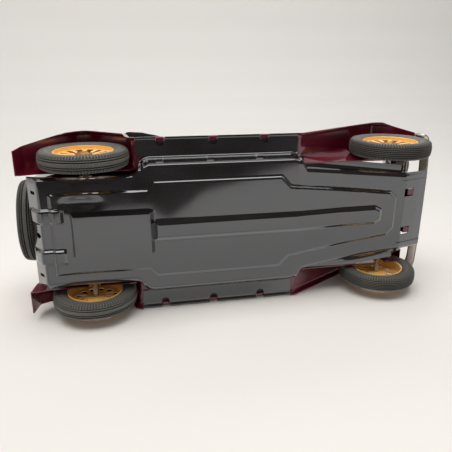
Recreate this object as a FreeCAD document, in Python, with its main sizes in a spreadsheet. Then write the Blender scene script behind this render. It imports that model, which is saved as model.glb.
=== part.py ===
import FreeCAD, Part
import math
import os
import re
import Sketcher
from FreeCAD import Placement, Rotation, Vector

# Friction tin car: an open two-seat body on a stamped chassis pan, with a flywheel motor over the rear axle.
# Millimetres.  The car stands on its wheels at Z = 0, its nose points to -Y and its left side is +X.

SIZES = {
    # stance
    "wheelbase": 175.0, "front_axle_y": -91.0, "half_track": 40.0,
    # road wheels
    "tyre_radius": 23.5, "tyre_width": 9.3, "tread_width": 5.6, "bead_width": 7.2, "rim_radius": 15.7,
    "rim_wall": 0.7, "disc_wall": 0.8, "disc_dish": 0.4, "hub_radius": 4.2, "spoke_count": 12, "spoke_hole": 1.9,
    "spoke_ring": 10.3, "hub_cap_radius": 4.4, "hub_cap_depth": 2.2, "axle_radius": 1.6, "running_gap": 0.05,
    # sheet metal
    "tin": 0.6, "body_tin": 0.8,
    # chassis pan
    "pan_rear_y": 107.9, "pan_rear_z": 15.2, "pan_mid_z": 15.6, "pan_front_y": -118.8, "pan_front_z": 24.1,
    "pan_nose_z": 18.9, "pan_rear_half": 30.8, "pan_mid_half": 39.2, "pan_neck_half": 31.6, "pan_nose_half": 24.5,
    "valance_y": 113.8, "valance_top": 23.3, "pan_wall_top": 20.6,
    "board_front_y": -32.9, "board_rear_y": 57.3, "board_half": 49.3, "board_z": 22.2, "board_lip": 1.3,
    "notch_radius": 2.3, "notch_depth": 4.4, "notch_pitch": 29.0, "notch_middle_y": 15.4,
    "panel_drop": 1.1, "panel_rear_half": 21.8, "panel_mid_half": 26.8, "panel_neck_half": 20.9,
    "panel_nose_half": 13.3, "panel_rear_y": 99.2, "panel_front_y": -96.0,
    "tunnel_drop": 2.7, "tunnel_half": 4.8, "tunnel_rear_y": 48.6, "tunnel_front_y": -86.0,
    "belly_z": 9.4, "belly_half": 11.7, "belly_front_y": 52.2, "belly_rear_y": 90.5, "belly_slope": 3.6,
    "rail_inner": 7.7, "rail_outer": 15.2, "rail_front_y": 96.6, "rail_drop": 1.6,
    "slot_length": 7.0, "slot_width": 4.8, "slot_x": 12.2, "slot_y": -105.4,
    "tail_slot_inset": 7.6, "tail_slot_width": 1.4, "tail_slot_height": 3.0, "tail_slot_rise": 2.6, "stamp_room": 16.4,
    # fenders
    "fender_inner": 32.5, "fender_outer": 50.0, "fender_edge": 3.0, "fender_lip": 0.7,
    "front_crown_z": 60.5, "front_crown_y": -97.0, "front_shoulder_y": -110.5, "front_shoulder_z": 54.0,
    "front_tip_y": -116.0, "front_tip_z": 38.0,
    "rear_crown_z": 56.5, "rear_front_z": 37.0, "rear_skirt_y": 118.0, "rear_skirt_z": 18.0, "rear_tail_z": 29.5,
    "fender_tail_outer": 45.5, "apron_low_z": 19.8, "axle_clearance": 1.6,
    "front_foot_run": 1.6, "front_foot_bend": 4.0, "front_crown_bend": 12.0, "front_shoulder_bend": 9.0,
    "rear_foot_bend": 1.2, "rear_knee_bend": 5.0, "rear_crown_bend": 9.0, "rear_tail_bend": 4.0,
    # body
    "sill_z": 23.6, "cowl_y": -38.0, "cowl_half": 27.5, "belt_z": 58.0, "deck_z": 64.0, "body_half": 38.5,
    "door_front_half": 35.5, "tail_y": 112.2, "tail_half": 27.0, "tail_z": 50.0,
    "cockpit_front_y": -27.0, "cockpit_rear_y": 36.0, "cockpit_half": 31.5,
    "hood_front_y": -110.0, "hood_front_half": 14.0, "hood_front_z": 58.0, "hood_sill_z": 25.6,
    "louvre_count": 9, "louvre_pitch": 5.0, "louvre_height": 16.0, "louvre_width": 1.0, "louvre_start": 10.0,
    "top_front_y": 37.0, "top_rear_y": 66.0, "top_front_half": 42.5, "top_rear_half": 47.0, "top_rise": 10.0,
    "top_round": 3.0,
    "shell_depth": 7.0, "shell_wall": 1.8, "shell_half": 14.6, "core_depth": 3.0,
    "screen_half": 29.0, "screen_height": 22.0, "screen_bar": 1.6, "screen_pane": 0.8, "screen_rake": 10.0,
    "floor_rear_y": 47.0, "floor_half": 31.0, "cushion_top": 40.0, "cushion_depth": 24.9, "cushion_crown": 2.5,
    "seat_back_top": 61.0,
    "seat_back_wall": 5.0, "seat_half": 29.0, "handle_length": 7.0, "handle_width": 1.4, "handle_reach": 1.3,
    "wheel_rim_radius": 10.0, "wheel_rim_bar": 1.0, "column_radius": 1.1, "column_tilt": 38.0, "column_length": 26.0,
    "cap_radius": 2.8, "cap_height": 5.2,
    "lamp_radius": 8.0, "lamp_depth": 13.0, "lamp_x": 23.0, "lamp_z": 50.5, "lamp_bar_radius": 1.1,
    "bumper_half": 43.5, "bumper_low": 28.5, "bumper_high": 37.5, "bumper_front_y": -122.2, "bumper_bow": 0.2,
    "bumper_curl": 6.8, "bumper_curl_width": 2.6,
    "bracket_x": 19.0, "bracket_width": 2.4, "spare_stand_off": 5.35, "spare_z": 47.0,
    "tail_lamp_radius": 3.4, "tail_lamp_x": 39.5, "tail_lamp_y": 109.8, "tail_lamp_z": 39.0,
    # friction motor
    "plate_gap_half": 8.7, "plate_wall": 0.8, "shaft_radius": 0.8, "gear_module": 0.5, "gear_teeth": 36,
    "pinion_teeth": 10, "gear_width": 2.0, "mesh_gap": 0.1, "flywheel_radius": 9.6, "flywheel_width": 6.0,
    "post_radius": 1.5, "cradle_half": 20.0, "cradle_length": 10.0, "ear_height": 4.0,
}

doc = FreeCAD.newDocument("tin_car")
sheet = doc.addObject("Spreadsheet::Sheet", "Sizes")


class Size:
    """A length with its value and the spreadsheet formula that gives it."""

    def __init__(self, value, text):
        self.value = value
        self.text = text

    def join(self, other, sign, value):
        other = as_size(other)
        return Size(value(self.value, other.value), "(%s %s %s)" % (self.text, sign, other.text))

    def __add__(self, other):
        return self.join(other, "+", lambda a, b: a + b)

    def __sub__(self, other):
        return self.join(other, "-", lambda a, b: a - b)

    def __mul__(self, other):
        return self.join(other, "*", lambda a, b: a * b)

    def __truediv__(self, other):
        return self.join(other, "/", lambda a, b: a / b)

    def __neg__(self):
        return self * -1

    def __radd__(self, other):
        return as_size(other) + self

    def __rsub__(self, other):
        return as_size(other) - self

    __rmul__ = __mul__


def as_size(number):
    """A plain number as a Size; a Size stays as it is."""
    return number if isinstance(number, Size) else Size(float(number), "%.6g" % number)


class Sheet:
    """The driving dimensions by name."""


size = Sheet()
for row, (alias, number) in enumerate(SIZES.items(), start=1):
    sheet.set("A%d" % row, alias)
    sheet.set("B%d" % row, str(number))
    sheet.setAlias("B%d" % row, alias)
    setattr(size, alias, Size(float(number), "Sizes." + alias))
doc.recompute()

# ---------------------------------------------------------------- building blocks


def bind(thing, prop, length):
    """Set a property from a Size, through the spreadsheet formula when it has one."""
    length = as_size(length)
    if re.search(r"Sizes\.", length.text):
        thing.setExpression(prop, length.text)
    return length.value


def place(thing, x=0, y=0, z=0, turn=None):
    """Put an object at x, y, z with an optional rotation, bound to the sheet."""
    base = Vector(as_size(x).value, as_size(y).value, as_size(z).value)
    thing.Placement = Placement(base, turn or Rotation())
    for axis, length in (("x", x), ("y", y), ("z", z)):
        bind(thing, "Placement.Base." + axis, length)
    return thing


ALONG_X = Rotation(Vector(0, 1, 0), 90)
ALONG_Y = Rotation(Vector(1, 0, 0), -90)
FACE_YZ = Rotation(Vector(1, 1, 1), 120)
FACE_XZ = Rotation(Vector(1, 0, 0), 90)


def draw(outline, sketch):
    """Closed outline in a sketch.  Each corner is (u, v), or (u, v, radius) where an arc of that radius
    leaves it: a positive radius turns left, a negative one right."""
    corners = [tuple(as_size(part) for part in corner) for corner in outline]
    ends = []
    for here, after in zip(corners, corners[1:] + corners[:1]):
        start = Vector(here[0].value, here[1].value, 0)
        end = Vector(after[0].value, after[1].value, 0)
        if len(here) == 2:
            ends.append((sketch.addGeometry(Part.LineSegment(start, end)), 1, 2))
            continue
        radius = here[2].value
        half = (end - start).Length / 2
        along = (end - start).normalize()
        left = Vector(-along.y, along.x, 0)
        reach = math.sqrt(max(radius ** 2 - half ** 2, 0.0))
        centre = (start + end) / 2 + left * math.copysign(reach, radius)
        first, last = (start, end) if radius > 0 else (end, start)
        angles = [math.atan2(p.y - centre.y, p.x - centre.x) for p in (first, last)]
        circle = Part.Circle(centre, Vector(0, 0, 1), abs(radius))
        arc = sketch.addGeometry(Part.ArcOfCircle(circle, angles[0], angles[1]))
        ends.append((arc, 1, 2) if radius > 0 else (arc, 2, 1))
    for number, corner in enumerate(corners):
        edge, start_end, stop_end = ends[number]
        following = ends[(number + 1) % len(ends)]
        sketch.addConstraint(Sketcher.Constraint("Coincident", edge, stop_end, following[0], following[1]))
        for kind, length in (("DistanceX", corner[0]), ("DistanceY", corner[1])):
            index = sketch.addConstraint(Sketcher.Constraint(kind, edge, start_end, length.value))
            bind(sketch, "Constraints[%d]" % index, length)
        if len(corner) == 3:
            radius = corner[2] if corner[2].value > 0 else -corner[2]
            index = sketch.addConstraint(Sketcher.Constraint("Radius", edge, radius.value))
            bind(sketch, "Constraints[%d]" % index, radius)
    return sketch


def flat_sketch(name, outline, turn=None, x=0, y=0, z=0):
    """A free sketch of a closed outline, placed in space."""
    sketch = doc.addObject("Sketcher::SketchObject", name)
    draw(outline, sketch)
    return place(sketch, x, y, z, turn)


def extrude(name, base, length):
    """Solid extrusion of a closed sketch or face along its normal."""
    solid = doc.addObject("Part::Extrusion", name)
    solid.Base = base
    solid.DirMode = "Normal"
    solid.Solid = True
    solid.LengthFwd = bind(solid, "LengthFwd", length)
    return solid


def side_slab(name, outline, x_low, x_high):
    """A side-view outline (y, z) pushed from x_low to x_high."""
    sketch = flat_sketch(name + "_side", outline, FACE_YZ, x=x_low)
    return extrude(name, sketch, as_size(x_high) - x_low)


def plan_slab(name, outline, z_low, z_high):
    """A plan-view outline (x, y) pushed from z_low to z_high."""
    sketch = flat_sketch(name + "_plan", outline, z=z_low)
    return extrude(name, sketch, as_size(z_high) - z_low)


def box(name, low, high):
    """A box between two corners."""
    solid = doc.addObject("Part::Box", name)
    place(solid, *low)
    for prop, start, end in zip(("Length", "Width", "Height"), low, high):
        setattr(solid, prop, bind(solid, prop, as_size(end) - start))
    return solid


def rod(name, radius, start, length, turn=None):
    """A cylinder from a start point along +Z, or along the turned axis."""
    solid = doc.addObject("Part::Cylinder", name)
    solid.Radius = bind(solid, "Radius", radius)
    solid.Height = bind(solid, "Height", length)
    return place(solid, start[0], start[1], start[2], turn)


def fuse(name, *shapes):
    joined = doc.addObject("Part::MultiFuse", name)
    joined.Shapes = list(shapes)
    return joined


def common(name, first, second):
    both = doc.addObject("Part::Common", name)
    both.Base = first
    both.Tool = second
    return both


def cut(name, base, *tools):
    """The base with every tool taken out."""
    result = doc.addObject("Part::Cut", name)
    result.Base = base
    result.Tool = tools[0] if len(tools) == 1 else fuse(name + "_tools", *tools)
    return result


def group(name, *shapes):
    """Separate solids kept together in one node."""
    joined = doc.addObject("Part::Compound", name)
    joined.Links = list(shapes)
    return joined


def turned(name, outline, axis, x=0, y=0, z=0, turn=None):
    """A PartDesign body turned from a half section about the sketch's H_Axis or V_Axis."""
    body = doc.addObject("PartDesign::Body", name)
    sketch = body.newObject("Sketcher::SketchObject", name + "_section")
    plane = [p for p in body.Origin.OriginFeatures if p.Role == "XY_Plane"][0]
    sketch.AttachmentSupport = [(plane, "")]
    sketch.MapMode = "FlatFace"
    draw(outline, sketch)
    spun = body.newObject("PartDesign::Revolution", name + "_turn")
    spun.Profile = sketch
    spun.ReferenceAxis = (sketch, [axis])
    spun.Angle = 360.0
    return place(body, x, y, z, turn)


def mirrored(name, source):
    """The same piece on the other side of the car."""
    twin = doc.addObject("Part::Mirroring", name)
    twin.Source = source
    twin.Base = Vector(0, 0, 0)
    twin.Normal = Vector(1, 0, 0)
    return twin


def symmetric(half):
    """A plan or cross outline from its +X half, listed from one end to the other."""
    return half + [(-as_size(point[0]), point[1]) for point in reversed(half)]


def rounded_path(points):
    """Wire through (y, z, corner radius) points in the plane X = 0, with tangent arcs at the corners."""
    spots = [Vector(0, as_size(y).value, as_size(z).value) for y, z, _ in points]
    edges = []
    last = spots[0]
    for before, here, after, point in zip(spots, spots[1:], spots[2:], points[1:]):
        arriving = (here - before).normalize()
        leaving = (after - here).normalize()
        turn = arriving.getAngle(leaving)
        radius = as_size(point[2]).value
        reach = radius * math.tan(turn / 2)
        start = here - arriving * reach
        end = here + leaving * reach
        inward = (leaving - arriving).normalize()
        middle = here + inward * (radius / math.cos(turn / 2) - radius)
        edges.append(Part.LineSegment(last, start).toShape())
        edges.append(Part.Arc(start, middle, end).toShape())
        last = end
    edges.append(Part.LineSegment(last, spots[-1]).toShape())
    return Part.Wire(edges)


def wire_feature(name, wire):
    feature = doc.addObject("Part::Feature", name)
    feature.Shape = wire
    return feature


NODES = []


def node(name, thing):
    """Name a finished piece and put it on the list of files."""
    thing.Label = name
    NODES.append(thing)
    return thing


rear_axle_y = size.front_axle_y + size.wheelbase
axle_z = size.tyre_radius

# ---------------------------------------------------------------- chassis pan


def pan_profile(drop):
    """Underside of the pan in side view, from the rear valance to the front edge, lowered by drop."""
    return [
        (size.pan_rear_y, size.pan_rear_z - drop),
        (size.pan_rear_y - 16, size.pan_mid_z + 0.9 - drop),
        (size.board_rear_y + 4, size.pan_mid_z - drop),
        (size.board_front_y, size.pan_mid_z - drop),
        (size.board_front_y - 27, size.pan_nose_z - 0.8 - drop),
        (size.pan_front_y + 17, size.pan_nose_z - drop),
        (size.pan_front_y + 6, (size.pan_nose_z + size.pan_front_z) / 2 - drop + 0.6),
        (size.pan_front_y, size.pan_front_z - drop),
    ]


def pan_blank(name, rise, lift):
    """Everything from the pan's underside, raised by rise, up to its rim, raised by lift."""
    floor = [(size.valance_y - rise, size.valance_top)] + pan_profile(-as_size(rise))
    rim = [
        (size.pan_front_y, size.pan_front_z + size.tin + lift),
        (size.pan_front_y + 15, size.pan_wall_top + lift),
        (size.board_front_y - 2, size.pan_wall_top + lift),
        (size.board_front_y, size.board_z + lift),
        (size.board_rear_y, size.board_z + lift),
        (size.board_rear_y + 3, size.pan_wall_top + lift),
        (size.pan_rear_y - 4, size.pan_wall_top + lift),
        (size.valance_y - rise, size.valance_top + size.tin + lift),
    ]
    return side_slab(name, floor + rim, -size.board_half, size.board_half)


def pan_outline(inset):
    """Plan of the pan without its running boards."""
    half = [
        (size.pan_nose_half - inset, size.pan_front_y - 1),
        (size.pan_nose_half - inset, size.pan_front_y + 18),
        (size.pan_neck_half - inset, size.board_front_y - 3),
        (size.pan_mid_half - inset, size.board_front_y + inset),
        (size.pan_mid_half - inset, size.board_rear_y - 1 - inset),
        (size.pan_rear_half - inset, size.board_rear_y + 3 - inset),
        (size.pan_rear_half - inset, size.valance_y + 1),
    ]
    return symmetric(half)


def panel_outline(inset):
    """Plan of the large raised panel."""
    half = [
        (size.panel_nose_half - 4 - inset, size.panel_front_y + inset),
        (size.panel_nose_half - inset, size.panel_front_y + 4),
        (size.panel_neck_half - inset, size.board_front_y + 5),
        (size.panel_mid_half - inset, size.board_front_y + 10.5),
        (size.panel_mid_half - inset, size.tunnel_rear_y),
        (size.panel_rear_half - inset, size.tunnel_rear_y + 3.6),
        (size.panel_rear_half - inset, size.panel_rear_y - inset),
    ]
    return symmetric(half)


def tunnel_outline(inset):
    """Plan of the narrow drive tunnel on the raised panel."""
    half = [
        (size.tunnel_half - 2 - inset, size.tunnel_front_y + inset),
        (size.tunnel_half - inset, size.tunnel_front_y + 4),
        (size.tunnel_half - inset, size.tunnel_rear_y - inset),
    ]
    return symmetric(half)


def embossed(name, outline, drop, inset, rise, top):
    """Solid under one embossed area: its plan, cut to the pan's side profile lowered by drop."""
    plan = plan_slab(name + "_area", outline(inset), size.belly_z - 2, size.sill_z + size.stamp_room)
    floor = pan_profile(as_size(drop) - rise)
    lid = [(size.pan_front_y, top), (size.pan_rear_y, top)]
    side = side_slab(name + "_depth", floor + lid, -size.board_half, size.board_half)
    return common(name, plan, side)


def belly(name, inset):
    """The deep box under the motor, with sloping end walls."""
    half = size.belly_half - inset
    outline = [
        (size.belly_front_y - size.belly_slope + inset, size.pan_mid_z + 1),
        (size.belly_front_y + inset, size.belly_z + inset),
        (size.belly_rear_y - inset, size.belly_z + inset),
        (size.belly_rear_y + size.belly_slope * 0.6 - inset, size.pan_mid_z + 1),
    ]
    return side_slab(name, outline, -half, half)


def rail(name, side, inset, rise):
    """One of the two stiffening ribs that run from the rear valance."""
    low = side * size.rail_inner + (inset if side > 0 else -inset)
    high = side * size.rail_outer - (inset if side > 0 else -inset)
    if side < 0:
        low, high = high, low
    outline = [
        (size.rail_front_y + inset, size.pan_mid_z + 2),
        (size.rail_front_y + 1 + inset, size.pan_mid_z + 0.6 - size.rail_drop + rise),
        (size.pan_rear_y - 0.6, size.pan_rear_z - size.rail_drop + rise),
        (size.valance_y - 0.6, size.valance_top - 2.4 + rise),
        (size.valance_y - 4, size.valance_top - 2.4 + rise),
    ]
    return side_slab(name, outline, low, high)


def stamped(name, inset, lift):
    """The pan as a filled block; two of them, one inside the other, leave the sheet."""
    blank = common(name + "_blank", pan_blank(name + "_depth", inset, lift),
                   plan_slab(name + "_area", pan_outline(inset), size.belly_z - 2, size.sill_z + size.stamp_room))
    pieces = [
        blank,
        embossed(name + "_panel", panel_outline, size.panel_drop, inset, inset, size.pan_mid_z + 3.6),
        embossed(name + "_tunnel", tunnel_outline, size.tunnel_drop, inset, inset, size.pan_mid_z + 3),
        belly(name + "_belly", inset),
        rail(name + "_rail_left", 1, inset, inset),
        rail(name + "_rail_right", -1, inset, inset),
    ]
    return fuse(name, *pieces)


def running_board(name, side):
    """A flat board with a turned-down edge, three notches and a rounded rear corner."""
    inner = side * (size.pan_mid_half - size.tin)
    outer = side * size.board_half
    low, high = (inner, outer) if side > 0 else (outer, inner)
    deck = box(name + "_deck", (low, size.board_front_y, size.board_z),
               (high, size.board_rear_y, size.board_z + size.tin))
    lip_in = side * (size.board_half - size.tin)
    low, high = (lip_in, outer) if side > 0 else (outer, lip_in)
    lip = box(name + "_lip", (low, size.board_front_y, size.board_z - size.board_lip),
              (high, size.board_rear_y, size.board_z))
    board = fuse(name + "_plate", deck, lip)
    notches = []
    for number in (-1, 0, 1):
        y = size.notch_middle_y + size.notch_pitch * number
        tag = "%s_notch%d" % (name, number + 2)
        reach = size.notch_depth - size.notch_radius
        hole = rod(tag + "_end", size.notch_radius, (side * (size.board_half - reach), y, size.board_z - 3), 6)
        mouth_in = side * (size.board_half - reach)
        mouth_out = side * (size.board_half + 1)
        low, high = (mouth_in, mouth_out) if side > 0 else (mouth_out, mouth_in)
        mouth = box(tag + "_mouth", (low, y - size.notch_radius, size.board_z - 3),
                    (high, y + size.notch_radius, size.board_z + 3))
        notches += [hole, mouth]
    return cut(name, board, *notches)


def pan_slots():
    """Slots that the body's tabs come through: two at the nose and three in the rear valance."""
    slots = []
    for side in (-1, 1):
        x = side * size.slot_x
        slots.append(box("nose_slot_%d" % (side + 1),
                         (x - size.slot_width / 2, size.slot_y - size.slot_length / 2, size.pan_nose_z - 3),
                         (x + size.slot_width / 2, size.slot_y + size.slot_length / 2, size.pan_front_z + 4)))
        x = side * (size.pan_rear_half - size.tail_slot_inset)
        low = size.pan_rear_z + size.tail_slot_rise
        slots.append(box("tail_slot_%d" % (side + 1), (x - size.tail_slot_width / 2, size.pan_rear_y - 2, low),
                         (x + size.tail_slot_width / 2, size.valance_y + 2, low + size.tail_slot_height)))
    low = size.pan_rear_z + size.tail_slot_rise / 2
    slots.append(box("tail_slot_middle", (-size.tail_slot_width, size.pan_rear_y - 2, low),
                     (size.tail_slot_width, size.valance_y + 2, low + size.tail_slot_height)))
    return slots


def chassis_pan():
    outer = stamped("pan_outer", as_size(0), as_size(0))
    inner = stamped("pan_inner", size.tin, as_size(20))
    sheet_metal = cut("pan_sheet", outer, inner)
    whole = fuse("pan_whole", sheet_metal, running_board("board_left", 1), running_board("board_right", -1))
    node("chassis_pan", cut("chassis_pan", whole, *pan_slots()))


# ---------------------------------------------------------------- fenders


def front_fender_path():
    return rounded_path([
        (size.board_front_y, size.sill_z, 0),
        (size.board_front_y - size.front_foot_run, size.sill_z, size.front_foot_bend),
        (size.front_crown_y, size.front_crown_z, size.front_crown_bend),
        (size.front_shoulder_y, size.front_shoulder_z, size.front_shoulder_bend),
        (size.front_tip_y, size.front_tip_z, 0),
    ])


def rear_fender_path():
    return rounded_path([
        (size.board_rear_y + 0.1, size.sill_z, 0),
        (size.board_rear_y + 1.3, size.sill_z, size.rear_foot_bend),
        (size.board_rear_y + 3, size.rear_front_z, size.rear_knee_bend),
        (rear_axle_y + 1, size.rear_crown_z, size.rear_crown_bend),
        (size.rear_skirt_y - 2.2, size.rear_tail_z, size.rear_tail_bend),
        (size.rear_skirt_y, size.rear_skirt_z, 0),
    ])


def fender_section(name, y):
    """Cross section of a fender: flat on top, rounded over at the outer edge, ending in a short lip."""
    bend = size.fender_edge
    outline = [
        (size.fender_inner, size.sill_z - size.tin),
        (size.fender_outer - bend, size.sill_z - size.tin, size.tin - bend),
        (size.fender_outer - size.tin, size.sill_z - bend),
        (size.fender_outer - size.tin, size.sill_z - bend - size.fender_lip),
        (size.fender_outer, size.sill_z - bend - size.fender_lip),
        (size.fender_outer, size.sill_z - bend, bend),
        (size.fender_outer - bend, size.sill_z),
        (size.fender_inner, size.sill_z),
    ]
    return flat_sketch(name, outline, FACE_XZ, y=y)


def swept(name, section, path):
    sweep = doc.addObject("Part::Sweep", name)
    sweep.Sections = [section]
    sweep.Spine = (path, ["Edge%d" % (n + 1) for n in range(len(path.Shape.Edges))])
    sweep.Solid = True
    sweep.Frenet = False
    return sweep


def apron(name, path, lower):
    """Inner wall of a fender: the area between its path and a lower edge."""
    last = path.Shape.Vertexes[-1].Point
    first = path.Shape.Vertexes[0].Point
    corners = [last] + [Vector(0, as_size(y).value, as_size(z).value) for y, z in lower] + [first]
    face = Part.Face(Part.Wire(path.Shape.Edges + Part.makePolygon(corners).Edges))
    area = wire_feature(name + "_area", face)
    place(area, x=size.fender_inner)
    wall = doc.addObject("Part::Extrusion", name)
    wall.Base = area
    wall.DirMode = "Custom"
    wall.Dir = Vector(1, 0, 0)
    wall.Solid = True
    wall.LengthFwd = bind(wall, "LengthFwd", size.tin)
    return wall


def fender_strip():
    """One side's front fender, running board cover and rear fender, folded from one sheet."""
    front_path = wire_feature("front_path", front_fender_path())
    rear_path = wire_feature("rear_path", rear_fender_path())
    front = swept("front_sweep", fender_section("front_section", size.board_front_y), front_path)
    rear = swept("rear_sweep", fender_section("rear_section", size.board_rear_y + 0.1), rear_path)
    low = size.apron_low_z
    slot_half = size.axle_radius + size.axle_clearance
    slot_top = axle_z + slot_half
    front_wall = apron("front_apron", front_path, [
        (size.front_tip_y + 12, size.front_tip_z - 7),
        (size.front_axle_y - 3 * slot_half, low),
        (size.front_axle_y - slot_half, low),
        (size.front_axle_y - slot_half, slot_top),
        (size.front_axle_y + slot_half, slot_top),
        (size.front_axle_y + slot_half, low),
        (size.board_front_y - 5, low),
    ])
    rear_wall = apron("rear_apron", rear_path, [
        (size.rear_skirt_y - 3, size.rear_skirt_z),
        (size.valance_y - 6, low),
        (rear_axle_y + slot_half, low),
        (rear_axle_y + slot_half, slot_top),
        (rear_axle_y - slot_half, slot_top),
        (rear_axle_y - slot_half, low),
        (size.board_rear_y + 3.5, low),
    ])
    cover = box("board_cover", (size.fender_inner, size.board_front_y, size.sill_z - size.tin),
                (size.board_half - size.tin, size.board_rear_y + 0.1, size.sill_z))
    tabs = []
    for number in (-1, 0, 1):
        y = size.notch_middle_y + size.notch_pitch * number
        tabs.append(box("board_tab_%d" % (number + 2),
                        (size.board_half - size.tin * 3, y - size.notch_radius + 0.5, size.board_z - 0.8),
                        (size.board_half - size.tin * 2, y + size.notch_radius - 0.5, size.sill_z - size.tin)))
    raw = fuse("fender_raw", front, rear, front_wall, rear_wall, cover, *tabs)
    limits = plan_slab("fender_limits", [
        (size.fender_inner - 1, size.front_tip_y - 4),
        (size.fender_outer - 6, size.front_tip_y - 4),
        (size.fender_outer, size.front_tip_y + 14),
        (size.fender_outer + 0.01, rear_axle_y + 10),
        (size.fender_tail_outer, size.rear_skirt_y - 2),
        (size.fender_tail_outer - 1, size.rear_skirt_y + 4),
        (size.fender_inner - 1, size.rear_skirt_y + 4),
    ], 5, 90)
    left = common("fender_left_shape", raw, limits)
    node("fender_strip_left", left)
    node("fender_strip_right", mirrored("fender_right_shape", left))
    return front_path, rear_path


# ---------------------------------------------------------------- body


def arch(name, y, half, low, belt, crown, inset=0):
    """Cross section of the body: flat floor, straight sides and an arched top."""
    half = half - inset
    crown = crown - inset
    belt = belt - inset
    rise = crown - belt
    radius = (half * half + rise * rise) / (rise * 2)
    return flat_sketch(name, [(-half, low), (half, low), (half, belt, radius), (-half, belt)], FACE_XZ, y=y)


def loft(name, sections):
    body = doc.addObject("Part::Loft", name)
    body.Sections = sections
    body.Solid = True
    body.Ruled = False
    return body


def body_sections(name, inset, low):
    """Stations along the body from the cowl to the tail."""
    front_y = size.cowl_y + inset
    rear_y = size.tail_y - inset
    return [
        arch(name + "_cowl", front_y, size.cowl_half, low, size.belt_z - 3, size.deck_z - 1, inset),
        arch(name + "_door", size.cockpit_front_y + 15, size.door_front_half, low, size.belt_z, size.deck_z + 0.5,
             inset),
        arch(name + "_seat", size.cockpit_rear_y, size.body_half, low, size.belt_z, size.deck_z + 1, inset),
        arch(name + "_deck", size.top_rear_y, size.body_half - 2, low, size.belt_z - 1, size.deck_z, inset),
        arch(name + "_boot", rear_axle_y + 16, size.body_half - 7, low, size.belt_z - 10, size.deck_z - 6, inset),
        arch(name + "_tail", rear_y, size.tail_half, low, size.tail_z - 9, size.tail_z, inset),
    ]


def body_tub(rear_path):
    """Scuttle, doors and rear deck in one shell, open below, with the cockpit and wheel arches cut out."""
    skin = loft("tub_skin", body_sections("tub_out", as_size(0), size.sill_z))
    hollow = loft("tub_hollow", body_sections("tub_in", size.body_tin, size.sill_z - 3))
    cockpit = plan_slab("cockpit_cut", symmetric([
        (size.cockpit_half - 5.5, size.cockpit_front_y),
        (size.cockpit_half, size.cockpit_front_y + 16),
        (size.cockpit_half, size.cockpit_rear_y),
    ]), size.belt_z - 14, size.deck_z + 9)
    arch_face = wire_feature("arch_area", Part.Face(arch_wire(rear_path)))
    place(arch_face, x=size.fender_inner - 0.1)
    arch_left = doc.addObject("Part::Extrusion", "arch_left")
    arch_left.Base = arch_face
    arch_left.DirMode = "Custom"
    arch_left.Dir = Vector(1, 0, 0)
    arch_left.Solid = True
    arch_left.LengthFwd = bind(arch_left, "LengthFwd", size.fender_outer - size.fender_inner)
    arch_right = mirrored("arch_right", arch_left)
    node("body_tub", cut("body_tub", skin, hollow, cockpit, arch_left, arch_right))
    return skin, hollow, arch_left


def arch_wire(path):
    """Closed line just outside a fender's path, for the opening that the body leaves for it."""
    first = path.Shape.Vertexes[0].Point
    last = path.Shape.Vertexes[-1].Point
    below = [last, Vector(0, last.y, 5), Vector(0, first.y, 5), first]
    closed = Part.Wire(path.Shape.Edges + Part.makePolygon(below).Edges)
    return closed.makeOffset2D(0.1)


def hood_cover():
    """Long bonnet with side louvres, and two tabs that fold through the pan's nose slots."""
    def sections(name, inset, low, reach):
        return [
            arch(name + "_back", size.cowl_y - 0.1 + reach, size.cowl_half - 0.3, low, size.belt_z - 3.5,
                 size.deck_z - 1.6, inset),
            arch(name + "_mid", (size.cowl_y + size.hood_front_y) / 2, (size.cowl_half + size.hood_front_half) / 2
                 + 0.6, low, size.belt_z - 5.5, size.deck_z - 3.2, inset),
            arch(name + "_front", size.hood_front_y - reach, size.hood_front_half, low, size.hood_front_z - 8,
                 size.hood_front_z, inset),
        ]
    skin = loft("hood_skin", sections("hood_out", as_size(0), size.hood_sill_z, as_size(0)))
    hollow = loft("hood_hollow", sections("hood_in", size.body_tin, size.hood_sill_z - 3, as_size(0)))
    shell = cut("hood_shell", skin, hollow)
    pieces = [shell]
    for side in (-1, 1):
        near = side * (size.hood_front_half - size.body_tin)
        far = side * size.hood_front_half
        inner = side * (size.slot_x - size.slot_width / 2 + 0.6)
        rear = size.slot_y - size.slot_length / 2 + 0.4
        low, high = (near, far) if side > 0 else (far, near)
        leg = box("hood_leg_%d" % (side + 1), (low, rear, size.pan_nose_z + 2.4),
                  (high, rear + size.slot_length / 2, size.hood_sill_z + 4))
        low, high = (inner, far) if side > 0 else (far, inner)
        foot = box("hood_foot_%d" % (side + 1), (low, rear, size.pan_nose_z + 1.8),
                   (high, rear + size.slot_length / 2, size.pan_nose_z + 2.4))
        pieces += [leg, foot]
    tool = []
    for number in range(int(size.louvre_count.value)):
        y = size.cowl_y - size.louvre_start - size.louvre_pitch * number
        high = size.belt_z - size.louvre_start
        tool.append(box("louvre_%d" % number, (-size.body_half, y - size.louvre_width / 2, high - size.louvre_height),
                        (size.body_half, y + size.louvre_width / 2, high)))
    node("hood_cover", cut("hood_cover", fuse("hood_whole", *pieces), *tool))


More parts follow.
